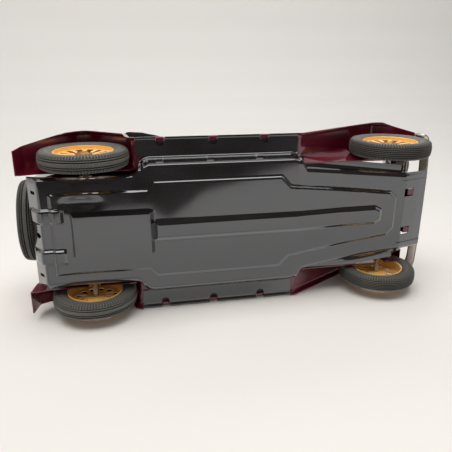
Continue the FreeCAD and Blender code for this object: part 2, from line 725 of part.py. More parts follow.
def folded_top(skin):
    """The lowered hood of the car: a padded roll on the deck behind the seat, wider than the body."""
    outline = symmetric([
        (size.top_front_half, size.top_front_y),
        (size.top_rear_half - 1, (size.top_front_y + size.top_rear_y) / 2),
        (size.top_rear_half, size.top_rear_y - 5),
        (size.top_rear_half - 6, size.top_rear_y),
    ])
    low = size.belt_z + 0.5
    high = size.deck_z + size.top_rise
    stack = plan_slab("top_stack", outline, low, high)
    soft = doc.addObject("Part::Fillet", "top_rounding")
    soft.Base = stack
    doc.recompute()
    upper = [number + 1 for number, edge in enumerate(stack.Shape.Edges)
             if edge.CenterOfMass.z > high.value - 0.01]
    soft.Edges = [(number, size.top_round.value, size.top_round.value) for number in upper]
    node("folded_top", cut("folded_top", soft, skin))


def windscreen(skin):
    """Raked frame with one pane.  Its lower rail is cut to the arch of the scuttle that it stands on."""
    lean = Rotation(Vector(1, 0, 0), -size.screen_rake.value)
    foot_y = size.cockpit_front_y - 2.6
    foot_z = size.belt_z
    bar = size.screen_bar
    sill = size.deck_z - size.belt_z + bar
    top = sill + size.screen_height
    outer = box("screen_outer", (0, 0, 0), (size.screen_half * 2, bar, top))
    inner = box("screen_inner", (bar, -1, sill), (size.screen_half * 2 - bar, bar + 1, top - bar))
    ring = cut("screen_ring", outer, inner)
    place(ring, -size.screen_half, foot_y, foot_z, lean)
    node("windscreen_frame", cut("windscreen_frame", ring, skin))
    gap = (bar - size.screen_pane) / 2
    pane = box("screen_pane_box", (0, 0, 0),
               (size.screen_half * 2 - bar * 2, size.screen_pane, size.screen_height - bar))
    shift = lean.multVec(Vector(0, gap.value, sill.value))
    place(pane, -size.screen_half + bar, foot_y + shift.y, foot_z + shift.z, lean)
    node("windscreen_pane", pane)


def cabin(hollow):
    """Floor, bench seat, instrument panel and steering."""
    floor = box("floor_plate", (-size.floor_half, size.cowl_y + 1.5, size.sill_z),
                (size.floor_half, size.floor_rear_y, size.sill_z + size.tin))
    wedge = plan_slab("floor_outline", symmetric([
        (size.cowl_half - 2.5, size.cowl_y + 1.5),
        (size.floor_half, size.cockpit_front_y + 15),
        (size.floor_half, size.floor_rear_y),
    ]), size.sill_z - 1, size.sill_z + 3)
    node("cabin_floor", common("cabin_floor_shape", floor, wedge))
    seat_low = size.sill_z + size.tin
    back_y = size.cockpit_rear_y - 1
    back_front = back_y - size.seat_back_wall
    rear = back_front - 0.1
    front = rear - size.cushion_depth
    cushion = side_slab("cushion_block", [
        (front, seat_low), (rear, seat_low), (rear, size.cushion_top - size.cushion_crown * 0.6),
        (front + 3, size.cushion_top), (front, size.cushion_top - size.cushion_crown)], -size.seat_half, size.seat_half)
    node("seat_cushion", cushion)
    back = side_slab("back_block", [
        (back_front, seat_low), (back_y, seat_low), (back_y + 0.7, size.seat_back_top - 1.5),
        (back_y - 0.2, size.seat_back_top), (back_y - 2.8, size.seat_back_top - 1)], -size.seat_half, size.seat_half)
    node("seat_back", back)
    panel = box("panel_plate", (-size.door_front_half + 8.2, size.cockpit_front_y - 1.4, size.belt_z - 13),
                (size.door_front_half - 8.2, size.cockpit_front_y - 0.6, size.belt_z + 1))
    tilt = size.column_tilt.value
    aim = Rotation(Vector(1, 0, 0), -(90 - tilt))
    wheel_x = size.seat_half / 2 - 1
    wheel_y = size.cockpit_front_y + 14.5
    wheel_z = size.belt_z + 3.5
    along = aim.multVec(Vector(0, 0, 1))
    reach = size.column_length
    start_y = wheel_y - reach * along.y
    start_z = wheel_z - reach * along.z
    hub_half = as_size(0.8)
    column = rod("column_rod", size.column_radius, (wheel_x, start_y, start_z), reach - hub_half, aim)
    node("steering_column", column)
    sleeve = rod("column_hole", size.column_radius + 0.1, (wheel_x, start_y, start_z), reach, aim)
    node("instrument_panel", cut("instrument_panel", common("panel_trimmed", panel, hollow), sleeve))
    rim = doc.addObject("Part::Torus", "steering_rim")
    rim.Radius1 = bind(rim, "Radius1", size.wheel_rim_radius)
    rim.Radius2 = bind(rim, "Radius2", size.wheel_rim_bar)
    place(rim, wheel_x, wheel_y, wheel_z, aim)
    hub = rod("steering_hub", size.column_radius + 1.3,
              (wheel_x, wheel_y - hub_half * along.y, wheel_z - hub_half * along.z), hub_half * 2, aim)
    spokes = []
    for number in range(3):
        spoke = doc.addObject("Part::Cylinder", "steering_spoke_%d" % number)
        spoke.Radius = bind(spoke, "Radius", size.wheel_rim_bar * 0.7)
        spoke.Height = bind(spoke, "Height", size.wheel_rim_radius)
        turn = aim.multiply(Rotation(Vector(0, 0, 1), 90 + 120 * number)).multiply(ALONG_X)
        place(spoke, wheel_x, wheel_y, wheel_z, turn)
        spokes.append(spoke)
    node("steering_wheel", fuse("steering_wheel_shape", rim, hub, *spokes))


# ---------------------------------------------------------------- nose, lamps and bumper


def radiator():
    """Bright shell with an arched top, a dark core set into it and a filler cap."""
    back = size.hood_front_y - 0.1
    low = size.pan_front_z + 0.9
    half = size.shell_half
    rise = as_size(8)

    def block(name, inset, y, depth):
        span = half - inset
        radius = (span * span + rise * rise) / (rise * 2)
        crown = size.hood_front_z + 1 - inset
        outline = [(-span, low + inset), (span, low + inset), (span, crown - rise, radius), (-span, crown - rise)]
        return extrude(name, flat_sketch(name + "_face", outline, FACE_XZ, y=y), depth)

    shell = cut("radiator_shell_shape", block("shell_block", as_size(0), back, size.shell_depth),
                block("shell_opening", size.shell_wall, back - size.shell_depth + size.core_depth + 1, 30))
    node("radiator_shell", shell)
    core = block("core_block", size.shell_wall + 0.05, back - size.shell_depth + size.core_depth + 0.9,
                 size.core_depth)
    node("radiator_core", core)
    cap_z = size.hood_front_z + 1
    r = size.cap_radius
    tall = size.cap_height
    cap = turned("cap_body", [(0, 0), (r * 0.57, 0), (r * 0.57, tall * 0.2), (r, tall * 0.2), (r, tall * 0.5),
                              (r * 0.43, tall * 0.7), (r * 0.43, tall * 0.88), (0, tall)],
                 "V_Axis", 0, back - size.shell_depth / 2, cap_z, Rotation(Vector(1, 0, 0), 90))
    node("radiator_cap", cap)


def headlamps():
    """Two bowl lamps with domed lenses on stalks between radiator shell and fenders."""
    r = size.lamp_radius
    depth = size.lamp_depth
    wall = size.tin
    back_y = size.hood_front_y + 6
    shells, lenses, bars = [], [], []
    for side in (-1, 1):
        x = side * size.lamp_x
        tag = "left" if side > 0 else "right"
        shell = turned("lamp_shell_" + tag, [
            (0, 0), (r * 0.45, -0.8), (r * 0.85, -depth * 0.4), (r, -depth * 0.75), (r, -depth),
            (r - wall, -depth), (r - wall, -depth * 0.75), (r * 0.85 - wall, -depth * 0.4 - 0.1),
            (r * 0.45 - wall, -0.8 - wall), (0, -wall)], "V_Axis", x, back_y, size.lamp_z)
        shells.append(shell)
        rim = r - wall - 0.05
        lens = turned("lamp_lens_" + tag, [
            (0, -depth + 0.4), (rim, -depth + 0.4), (rim, -depth - 0.2), (rim * 0.6, -depth - 1.2),
            (0, -depth - 1.7)], "V_Axis", x, back_y, size.lamp_z)
        lenses.append(lens)
        bar_z = size.lamp_z - r - 1.4
        bar_y = back_y - depth * 0.75
        start = size.shell_half if side > 0 else -size.fender_inner + 0.1
        span = size.fender_inner - size.shell_half - 0.1
        bar = rod("lamp_rod_" + tag, size.lamp_bar_radius, (start, bar_y, bar_z), span, ALONG_X)
        post = rod("lamp_post_" + tag, size.lamp_bar_radius, (x, bar_y, bar_z), 1.35)
        bars.append(fuse("lamp_stalk_" + tag, bar, post))
    node("headlamp_shells", group("lamp_shell_pair", *shells))
    node("headlamp_lenses", group("lamp_lens_pair", *lenses))
    node("headlamp_bar", group("lamp_bar_pair", *bars))


def bumper():
    """Bowed spring-steel blade with curled ends, on two flat brackets from the pan."""
    front = size.bumper_front_y
    half = size.bumper_half
    wall = size.tin

    def blade(inset):
        curl = front + size.bumper_curl
        knee = front + size.bumper_curl * 0.53
        bend = front + size.bumper_bow * 4 + inset
        bow = front + size.bumper_bow + inset
        corner = half - size.bumper_curl_width
        return [
            (-half + inset, curl), (-half + inset, knee), (-corner, bend), (-half * 0.5, bow), (0, front + inset),
            (half * 0.5, bow), (corner, bend), (half - inset, knee), (half - inset, curl)]
    outline = blade(as_size(0)) + list(reversed(blade(wall)))
    node("front_bumper", plan_slab("bumper_blade", outline, size.bumper_low, size.bumper_high))
    brackets = []
    for side in (-1, 1):
        x = side * size.bracket_x
        low, high = x - size.bracket_width / 2, x + size.bracket_width / 2
        brackets.append(box("bracket_%d" % (side + 1), (low, front + wall + 0.75, size.pan_front_z + wall + 0.1),
                            (high, size.pan_front_y + 7, size.bumper_high - 2)))
    node("bumper_brackets", group("bracket_pair", *brackets))


def tail_lamp(wheel_arch):
    """Small round lamp on the slope of the left rear fender."""
    radius = size.tail_lamp_radius
    stem = radius * 0.6
    lamp = turned("tail_lamp_body", [(0, -8), (stem, -8), (stem, 0), (radius, 0.6), (radius, 2.6),
                                     (radius * 0.7, 3.8), (0, 4.3)],
                  "V_Axis", size.tail_lamp_x, size.tail_lamp_y, size.tail_lamp_z)
    node("tail_lamp", cut("tail_lamp", lamp, wheel_arch))


def handles(skin):
    """Door handles, one a side."""
    pair = []
    for side in (-1, 1):
        near = side * (size.body_half - 0.8)
        far = side * (size.body_half + size.handle_reach)
        low, high = (near, far) if side > 0 else (far, near)
        rear = size.cockpit_rear_y - size.handle_length
        base = size.belt_z - 5.5
        pair.append(box("door_handle_%d" % (side + 1), (low, rear - size.handle_length, base),
                        (high, rear, base + size.handle_width)))
    node("door_handles", cut("door_handles", fuse("door_handle_pair", *pair), skin))


# ---------------------------------------------------------------- wheels


def tyre(name, x, y, z, turn=None):
    """Rubber tyre with rounded side walls and a flat tread."""
    r = size.tyre_radius
    half = size.tyre_width / 2
    tread = size.tread_width / 2
    bead = size.bead_width / 2
    belly_r = (r + size.rim_radius) / 2
    return turned(name, [
        (-bead, size.rim_radius), (bead, size.rim_radius), (half, belly_r - 1.4), (half, belly_r + 1.6),
        (tread + 0.9, r - 0.5), (tread, r), (-tread, r), (-tread - 0.9, r - 0.5), (-half, belly_r + 1.6),
        (-half, belly_r - 1.4)], "H_Axis", x, y, z, turn)


def wheel_disc(name, side, x, y, z, bore, turn=None):
    """Stamped disc: rim flange, dished web with a ring of openings between the spokes, raised hub."""
    half = size.bead_width / 2
    rim = size.rim_radius
    wall = size.disc_wall
    outer_face = size.disc_dish + wall / 2
    inner_face = size.disc_dish - wall / 2
    half_section = [
        (-half, rim), (-half, rim - size.rim_wall), (-wall / 2, rim - size.rim_wall),
        (inner_face, size.hub_radius + 1.5), (inner_face, size.hub_radius), (-half * 0.6, size.hub_radius - 0.8),
        (-half * 0.6, bore), (outer_face, bore), (outer_face, size.hub_radius + 1.5),
        (wall / 2, rim - size.rim_wall), (half, rim - size.rim_wall), (half, rim)]
    outline = [(side * across, radius) for across, radius in half_section]
    body = turned(name, outline, "H_Axis", x, y, z, turn)
    plane = [p for p in body.Origin.OriginFeatures if p.Role == "YZ_Plane"][0]
    holes = body.newObject("Sketcher::SketchObject", name + "_opening")
    holes.AttachmentSupport = [(plane, "")]
    holes.MapMode = "FlatFace"
    circle = holes.addGeometry(Part.Circle(Vector(0, size.spoke_ring.value, 0), Vector(0, 0, 1),
                                           size.spoke_hole.value))
    for kind, length in (("DistanceX", as_size(0)), ("DistanceY", size.spoke_ring)):
        index = holes.addConstraint(Sketcher.Constraint(kind, circle, 3, length.value))
        bind(holes, "Constraints[%d]" % index, length)
    index = holes.addConstraint(Sketcher.Constraint("Radius", circle, size.spoke_hole.value))
    bind(holes, "Constraints[%d]" % index, size.spoke_hole)
    doc.recompute()
    pocket = body.newObject("PartDesign::Pocket", name + "_pocket")
    pocket.Profile = holes
    pocket.Type = "ThroughAll"
    pocket.Midplane = True
    doc.recompute()
    pattern = body.newObject("PartDesign::PolarPattern", name + "_spokes")
    pattern.Originals = [pocket]
    pattern.Axis = ([p for p in body.Origin.OriginFeatures if p.Role == "X_Axis"][0], [""])
    pattern.Angle = 360
    pattern.Occurrences = int(size.spoke_count.value)
    body.Tip = pattern
    return body


def hub_cap(name, side, x, y, z):
    """Domed cap over the end of an axle, hollow where the axle reaches into it."""
    r = size.hub_cap_radius
    depth = size.hub_cap_depth
    outline = [
        (0, size.axle_radius + 0.1), (0, r), (side * depth * 0.45, r), (side * depth * 0.85, r * 0.72),
        (side * depth, r * 0.4), (side * depth, 0), (side * depth * 0.7, 0),
        (side * depth * 0.5, size.axle_radius + 0.1)]
    return turned(name, outline, "H_Axis", x, y, z)


def wheel_set(end, y):
    """Axle with a tyre, disc and hub cap at each end."""
    cap_x = size.half_track + size.disc_dish + size.disc_wall / 2
    reach = cap_x + size.hub_cap_depth * 0.4
    axle = rod(end + "_axle_rod", size.axle_radius, (-reach, y, axle_z), reach * 2, ALONG_X)
    node(end + "_axle", axle)
    for side, tag in ((1, "left"), (-1, "right")):
        x = side * size.half_track
        disc = wheel_disc("%s_disc_%s" % (end, tag), side, x, y, axle_z, size.axle_radius)
        node("wheel_disc_%s_%s" % (end, tag), disc)
        node("tyre_%s_%s" % (end, tag), tyre("%s_tyre_%s" % (end, tag), x, y, axle_z))
        cap = hub_cap("%s_cap_%s" % (end, tag), side, side * cap_x, y, axle_z)
        node("hub_cap_%s_%s" % (end, tag), cap)


def spare_wheel():
    """Spare on the tail, facing the rear, on a bolt from the body."""
    face_rear = Rotation(Vector(0, 0, 1), 90)
    y = size.tail_y + size.spare_stand_off
    node("spare_tyre", tyre("spare_tyre_body", 0, y, size.spare_z, face_rear))
    node("spare_disc", wheel_disc("spare_disc_body", 1, 0, y, size.spare_z, size.axle_radius, face_rear))
    cap_y = y + size.disc_dish + size.disc_wall / 2
    cap = turned("spare_cap_body", [(0, 0), (0, size.hub_cap_radius), (size.hub_cap_depth * 0.3,
                 size.hub_cap_radius), (size.hub_cap_depth * 0.7, size.hub_cap_radius * 0.6),
                 (size.hub_cap_depth * 0.8, 0)], "H_Axis", 0, cap_y + 0.1, size.spare_z, face_rear)
    node("spare_hub_cap", cap)
    bolt = rod("spare_bolt", size.axle_radius, (0, size.tail_y, size.spare_z), cap_y - size.tail_y, ALONG_Y)
    node("spare_carrier", bolt)


# ---------------------------------------------------------------- friction motor


def involute(angle):
    return math.tan(angle) - angle


def gear_wire(teeth, phase):
    """Toothed outline in the plane X = 0, with one tooth centred at phase radians from +Y."""
    module = size.gear_module.value
    pitch_r = module * teeth / 2
    base_r = pitch_r * math.cos(math.radians(20))
    tip_r = pitch_r + module
    root_r = pitch_r - 1.3 * module
    half_pitch = math.pi / (2 * teeth) - size.mesh_gap.value / pitch_r + involute(math.radians(20))
    corners = []
    flank = [root_r] + [max(base_r, root_r) + (tip_r - max(base_r, root_r)) * step / 3 for step in range(4)]
    for tooth in range(teeth):
        centre = phase + 2 * math.pi * tooth / teeth
        halves = []
        for radius in flank:
            press = math.acos(min(base_r / radius, 1.0))
            halves.append((radius, half_pitch - involute(press)))
        for radius, half in halves:
            corners.append((radius, centre - half))
        for radius, half in reversed(halves):
            corners.append((radius, centre + half))
    points = [Vector(0, r * math.cos(a), r * math.sin(a)) for r, a in corners]
    clean = [points[0]]
    for point in points[1:]:
        if point.distanceToPoint(clean[-1]) > 0.002:
            clean.append(point)
    return Part.makePolygon(clean + [clean[0]])


def gear(name, teeth, phase, x_low, width, y, z, bore):
    """Spur gear on an X axis, with its bore."""
    blank = wire_feature(name + "_blank", Part.Face(gear_wire(teeth, phase)).extrude(Vector(width.value, 0, 0)))
    place(blank, x_low, y, z)
    hole = rod(name + "_bore", bore, (x_low - 1, y, z), width + 2, ALONG_X)
    return cut(name, blank, hole)


def friction_motor():
    """Rear axle gear, lay shaft and flywheel between two plates that stand in the belly of the pan."""
    gap = size.plate_gap_half
    centre = size.gear_module * (size.gear_teeth + size.pinion_teeth) / 2 + size.mesh_gap
    teeth = int(size.gear_teeth.value)
    pinion = int(size.pinion_teeth.value)
    first = math.radians(165)
    second = math.radians(190)
    lay_y = rear_axle_y + centre * math.cos(first)
    lay_z = axle_z + centre * math.sin(first)
    fly_y = lay_y + centre * math.cos(second)
    fly_z = lay_z + centre * math.sin(second)
    r = size.shaft_radius
    width = size.gear_width

    def partner(followed_teeth, followed_phase, teeth_here, direction):
        offset = followed_teeth * (direction - followed_phase) / (2 * math.pi)
        return direction + math.pi - (0.5 - offset) * 2 * math.pi / teeth_here

    axle_phase = 0.0
    lay_phase = partner(teeth, axle_phase, pinion, first)
    wheel_phase = 0.1
    fly_phase = partner(teeth, wheel_phase, pinion, second)
    node("axle_gear", gear("axle_gear", teeth, axle_phase, gap - 4.2, width, rear_axle_y, axle_z, size.axle_radius))
    node("lay_pinion", gear("lay_pinion", pinion, lay_phase, gap - 4.7, width + 1, lay_y, lay_z, r))
    node("lay_gear", gear("lay_gear", teeth, wheel_phase, gap - 8.2, width, lay_y, lay_z, r))
    node("flywheel_pinion", gear("flywheel_pinion", pinion, fly_phase, gap - 8.7, width + 1, fly_y, fly_z, r))
    shaft_end = gap + size.plate_wall + 0.8
    node("lay_shaft", rod("lay_rod", r, (-shaft_end, lay_y, lay_z), shaft_end * 2, ALONG_X))
    node("flywheel_shaft", rod("fly_rod", r, (-shaft_end, fly_y, fly_z), shaft_end * 2, ALONG_X))
    wheel = turned("flywheel_body", [
        (0, r), (0, size.flywheel_radius), (size.flywheel_width, size.flywheel_radius), (size.flywheel_width, r)],
        "H_Axis", -gap + 1, fly_y, fly_z)
    node("flywheel", wheel)

    low = size.belly_z + size.tin
    outline = [
        (size.belly_front_y + 2.4, low), (size.belly_rear_y - 2.4, low), (size.belly_rear_y - 0.5, low + 8),
        (size.belly_rear_y + 1.5, axle_z + 4), (size.belly_rear_y + 1.5, axle_z + 14.5),
        (size.belly_front_y - 2, axle_z + 14.5), (size.belly_front_y - 2, low + 8)]
    bores = [(rear_axle_y, axle_z, size.axle_radius), (lay_y, lay_z, r), (fly_y, fly_z, r)]
    for tag, start in (("left", gap), ("right", -gap - size.plate_wall)):
        plate = side_slab("plate_blank_" + tag, outline, start, start + size.plate_wall)
        holes = [rod("plate_bore_%s_%d" % (tag, number), hole + size.running_gap, (start - 1, y, z),
                     size.plate_wall + 2, ALONG_X) for number, (y, z, hole) in enumerate(bores)]
        node("motor_plate_" + tag, cut("motor_plate_" + tag, plate, *holes))
    posts = []
    corners = [(size.belly_front_y + size.post_radius, low + 4), (size.belly_front_y + 0.5, axle_z + 12),
               (size.belly_rear_y - 1, axle_z + 12), (size.belly_rear_y - size.post_radius * 3, low + 2.5)]
    for number, (y, z) in enumerate(corners):
        posts.append(rod("motor_post_%d" % number, size.post_radius, (-gap, y, z), gap * 2, ALONG_X))
    node("motor_posts", group("motor_post_set", *posts))


def front_axle_bracket():
    """U-shaped bracket riveted in the nose, whose ears carry the front axle."""
    half = size.cradle_half
    wall = size.plate_wall
    low = size.pan_nose_z + size.tin + 0.02
    front = size.front_axle_y - size.cradle_length / 2
    rear = size.front_axle_y + size.cradle_length / 2
    outer = box("cradle_outer", (-half, front, low), (half, rear, axle_z + size.ear_height))
    inner = box("cradle_inner", (-half + wall, front - 1, low + wall), (half - wall, rear + 1, axle_z + 5))
    bore = rod("cradle_bore", size.axle_radius + size.running_gap, (-half - 1, size.front_axle_y, axle_z),
               half * 2 + 2, ALONG_X)
    node("front_axle_bracket", cut("front_axle_bracket", outer, inner, bore))


# ---------------------------------------------------------------- assembly

chassis_pan()
front_path, rear_path = fender_strip()
doc.recompute()
tub_skin, tub_hollow, wheel_arch = body_tub(rear_path)
hood_cover()
folded_top(tub_skin)
windscreen(tub_skin)
cabin(tub_hollow)
radiator()
headlamps()
bumper()
tail_lamp(wheel_arch)
handles(tub_skin)
wheel_set("front", size.front_axle_y)
wheel_set("rear", rear_axle_y)
spare_wheel()
friction_motor()
front_axle_bracket()
doc.recompute()

faults = [thing.Name for thing in doc.Objects if "Invalid" in thing.State or "Error" in thing.State]
for thing in NODES:
    if thing.Shape.isNull() or not thing.Shape.isValid() or not thing.Shape.Solids:
        faults.append(thing.Label)
if faults:
    raise RuntimeError("failed: " + ", ".join(faults))

os.makedirs("parts", exist_ok=True)
for thing in NODES:
    thing.Shape.exportStep(os.path.join("parts", thing.Label + ".step"))
    print("%-24s %d solid(s) %9.1f mm3" % (thing.Label, len(thing.Shape.Solids), thing.Shape.Volume))
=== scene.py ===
import math

import bpy
import numpy as np
from mathutils import Matrix, Vector
from mathutils.bvhtree import BVHTree


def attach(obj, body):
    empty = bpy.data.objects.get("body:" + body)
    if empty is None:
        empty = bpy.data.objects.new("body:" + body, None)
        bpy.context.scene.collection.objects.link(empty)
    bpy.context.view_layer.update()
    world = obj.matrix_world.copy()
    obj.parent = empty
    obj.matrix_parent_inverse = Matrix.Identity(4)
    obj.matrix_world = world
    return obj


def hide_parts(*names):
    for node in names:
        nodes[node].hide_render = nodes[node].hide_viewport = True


# Friction tin car.  Lengths below are millimetres; the scene is in metres.
MM = 0.001

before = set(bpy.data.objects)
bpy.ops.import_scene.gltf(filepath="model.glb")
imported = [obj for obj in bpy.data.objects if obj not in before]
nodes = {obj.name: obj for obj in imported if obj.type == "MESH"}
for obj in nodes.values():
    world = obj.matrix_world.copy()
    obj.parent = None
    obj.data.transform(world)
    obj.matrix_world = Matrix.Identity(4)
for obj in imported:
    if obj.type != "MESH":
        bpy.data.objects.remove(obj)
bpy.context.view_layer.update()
scene = bpy.context.scene
random = np.random.default_rng(7)

# ---------------------------------------------------------------- meshes


def make_object(name, points, faces, smooth=True, sharp=40.0):
    """Mesh object from points in millimetres."""
    mesh = bpy.data.meshes.new(name)
    mesh.from_pydata((np.asarray(points, float) * MM).tolist(), [], [tuple(int(i) for i in f) for f in faces])
    mesh.validate()
    thing = bpy.data.objects.new(name, mesh)
    scene.collection.objects.link(thing)
    if smooth:
        mesh.shade_smooth()
        mesh.set_sharp_from_angle(angle=math.radians(sharp))
    return thing


def grid_faces(rows, columns, wrap_rows=False, wrap_columns=False, start=0, flip=False):
    """Quads of a rows x columns grid of points."""
    faces = []
    for i in range(rows if wrap_rows else rows - 1):
        for j in range(columns if wrap_columns else columns - 1):
            a = start + i * columns + j
            b = start + i * columns + (j + 1) % columns
            c = start + (i + 1) % rows * columns + (j + 1) % columns
            d = start + (i + 1) % rows * columns + j
            faces.append((a, d, c, b) if flip else (a, b, c, d))
    return faces


def modify(thing, kind, **settings):
    """Add one modifier and apply it."""
    step = thing.modifiers.new("step", kind)
    for key, value in settings.items():
        setattr(step, key, value)
    depsgraph = bpy.context.evaluated_depsgraph_get()
    mesh = bpy.data.meshes.new_from_object(thing.evaluated_get(depsgraph))
    thing.modifiers.clear()
    thing.data = mesh
    return thing


def join(name, *things):
    """One object from several."""
    points, faces = [], []
    for thing in things:
        start = len(points)
        points += [tuple(v.co) for v in thing.data.vertices]
        for face in thing.data.polygons:
            faces.append(tuple(start + i for i in face.vertices))
        bpy.data.objects.remove(thing)
    return make_object(name, np.array(points) / MM, faces)


def rounded(points, radius, step):
    """Points along a polyline with its corners rounded, evenly spaced."""
    points = np.asarray(points, float)
    path = [points[0]]
    for before, here, after in zip(points[:-2], points[1:-1], points[2:]):
        to_before = before - here
        to_after = after - here
        long_before, long_after = np.linalg.norm(to_before), np.linalg.norm(to_after)
        to_before, to_after = to_before / long_before, to_after / long_after
        turn = math.pi - math.acos(np.clip(np.dot(to_before, to_after), -1, 1))
        reach = min(radius * math.tan(turn / 2), 0.45 * long_before, 0.45 * long_after)
        start, end = here + to_before * reach, here + to_after * reach
        for share in np.linspace(0, 1, 9):
            path.append((1 - share) ** 2 * start + 2 * share * (1 - share) * here + share ** 2 * end)
    path.append(points[-1])
    path = np.array(path)
    along = np.concatenate([[0], np.cumsum(np.linalg.norm(np.diff(path, axis=0), axis=1))])
    count = max(2, int(round(along[-1] / step)) + 1)
    at = np.linspace(0, along[-1], count)
    return np.stack([np.interp(at, along, path[:, k]) for k in range(path.shape[1])], axis=1)


def soft_step(value, low, high):
    share = np.clip((value - low) / (high - low), 0, 1)
    return share * share * (3 - 2 * share)


def inside_distance(x, y, polygon, corner):
    """Distance inside a polygon with rounded corners; negative outside it."""
    polygon = np.asarray(polygon, float)
    best = np.full(x.shape, 1e9)
    within = np.zeros(x.shape, bool)
    for (ax, ay), (bx, by) in zip(polygon, np.roll(polygon, -1, axis=0)):
        ex, ey = bx - ax, by - ay
        share = np.clip(((x - ax) * ex + (y - ay) * ey) / (ex * ex + ey * ey), 0, 1)
        best = np.minimum(best, np.hypot(x - ax - share * ex, y - ay - share * ey))
        crossing = (ay > y) != (by > y)
        within ^= crossing & (x < (bx - ax) * (y - ay) / (by - ay + 1e-12) + ax)
    return np.where(within, best, -best) + corner


def symmetric(half):
    return half + [(-x, y) for x, y in reversed(half)]


def ring(profile, count, centre, axis="x", wobble=None):
    """Points of a profile (along axis, radius) turned about an axis."""
    profile = np.asarray(profile, float)
    angle = np.arange(count) * 2 * math.pi / count
    radius = np.repeat(profile[None, :, 1], count, axis=0)
    if wobble is not None:
        radius = radius + wobble
    across = np.repeat(profile[None, :, 0], count, axis=0)
    u, v = radius * np.cos(angle)[:, None], radius * np.sin(angle)[:, None]
    order = {"x": (across, u, v), "y": (u, across, v)}[axis]
    return np.stack(order, axis=2).reshape(-1, 3) + np.asarray(centre, float)


def turned(name, profile, count, centre, axis, wobble=None, sharp=40.0):
    """Solid of revolution from a closed section."""
    points = ring(profile, count, centre, axis, wobble)
    return make_object(name, points, grid_faces(count, len(profile), True, True), sharp=sharp)


def block(name, outline, low, high, axis):
    """Prism of an outline between two places along an axis."""
    outline = np.asarray(outline, float)
    count = len(outline)
    points = []
    for end in (low, high):
        for a, b in outline:
            points.append((end, a, b) if axis == "x" else (a, end, b))
    faces = [tuple(range(count))[::-1], tuple(range(count, 2 * count))]
    faces += [(i, (i + 1) % count, count + (i + 1) % count, count + i) for i in range(count)]
    return make_object(name, points, faces, smooth=False)


# ---------------------------------------------------------------- materials


def tone(red, green, blue):
    """Linear colour from an 8-bit screen colour."""
    def linear(part):
        part = part / 255.0
        return part / 12.92 if part <= 0.04045 else ((part + 0.055) / 1.055) ** 2.4
    return (linear(red), linear(green), linear(blue), 1.0)


def blank_tree(owner, kind):
    """Emptied node tree of a material or a world, and its output node."""
    owner.use_nodes = True
    tree = owner.node_tree
    tree.nodes.clear()
    return tree, tree.nodes.new("ShaderNodeOutput" + kind)


def colour_mix(tree):
    mix = tree.nodes.new("ShaderNodeMix")
    mix.data_type = "RGBA"
    return mix


def material(name, base, variant, scale, rough=0.3, rough_spread=0.05, metal=0.0, specular=0.5,
             coat=0.0, coat_ior=1.5, bump=0.0, bump_scale=None, transmission=0.0, ior=1.5,
             sheen=0.0, stretch=None):
    """Procedural finish: noise varies the colour and the roughness, and bumps the surface."""
    made = bpy.data.materials.new(name)
    tree, output = blank_tree(made, "Material")
    link, new = tree.links.new, tree.nodes.new
    shader = new("ShaderNodeBsdfPrincipled")
    coords = new("ShaderNodeTexCoord")
    noise = new("ShaderNodeTexNoise")
    mix = colour_mix(tree)
    spread = new("ShaderNodeMapRange")
    noise.inputs["Scale"].default_value = scale
    noise.inputs["Detail"].default_value = 3.0
    source = coords.outputs["Object"]
    if stretch:
        mapping = new("ShaderNodeMapping")
        mapping.inputs["Scale"].default_value = stretch
        link(source, mapping.inputs["Vector"])
        source = mapping.outputs["Vector"]
    link(source, noise.inputs["Vector"])
    mix.inputs["A"].default_value = base
    mix.inputs["B"].default_value = variant
    link(noise.outputs["Fac"], mix.inputs["Factor"])
    link(mix.outputs["Result"], shader.inputs["Base Color"])
    spread.inputs["To Min"].default_value = max(0.0, rough - rough_spread)
    spread.inputs["To Max"].default_value = rough + rough_spread
    link(noise.outputs["Fac"], spread.inputs["Value"])
    link(spread.outputs["Result"], shader.inputs["Roughness"])
    shader.inputs["Metallic"].default_value = metal
    shader.inputs["Specular IOR Level"].default_value = specular
    shader.inputs["Coat Weight"].default_value = coat
    shader.inputs["Coat IOR"].default_value = coat_ior
    shader.inputs["Coat Roughness"].default_value = 0.03
    shader.inputs["Transmission Weight"].default_value = transmission
    shader.inputs["IOR"].default_value = ior
    shader.inputs["Sheen Weight"].default_value = sheen
    if bump:
        grain = new("ShaderNodeTexNoise")
        grain.inputs["Scale"].default_value = bump_scale or scale
        relief = new("ShaderNodeBump")
        relief.inputs["Distance"].default_value = bump * MM
        relief.inputs["Strength"].default_value = 1.0
        link(source, grain.inputs["Vector"])
        link(grain.outputs["Fac"], relief.inputs["Height"])
        link(relief.outputs["Normal"], shader.inputs["Normal"])
        if coat:
            link(relief.outputs["Normal"], shader.inputs["Coat Normal"])
    link(shader.outputs["BSDF"], output.inputs["Surface"])
    return made


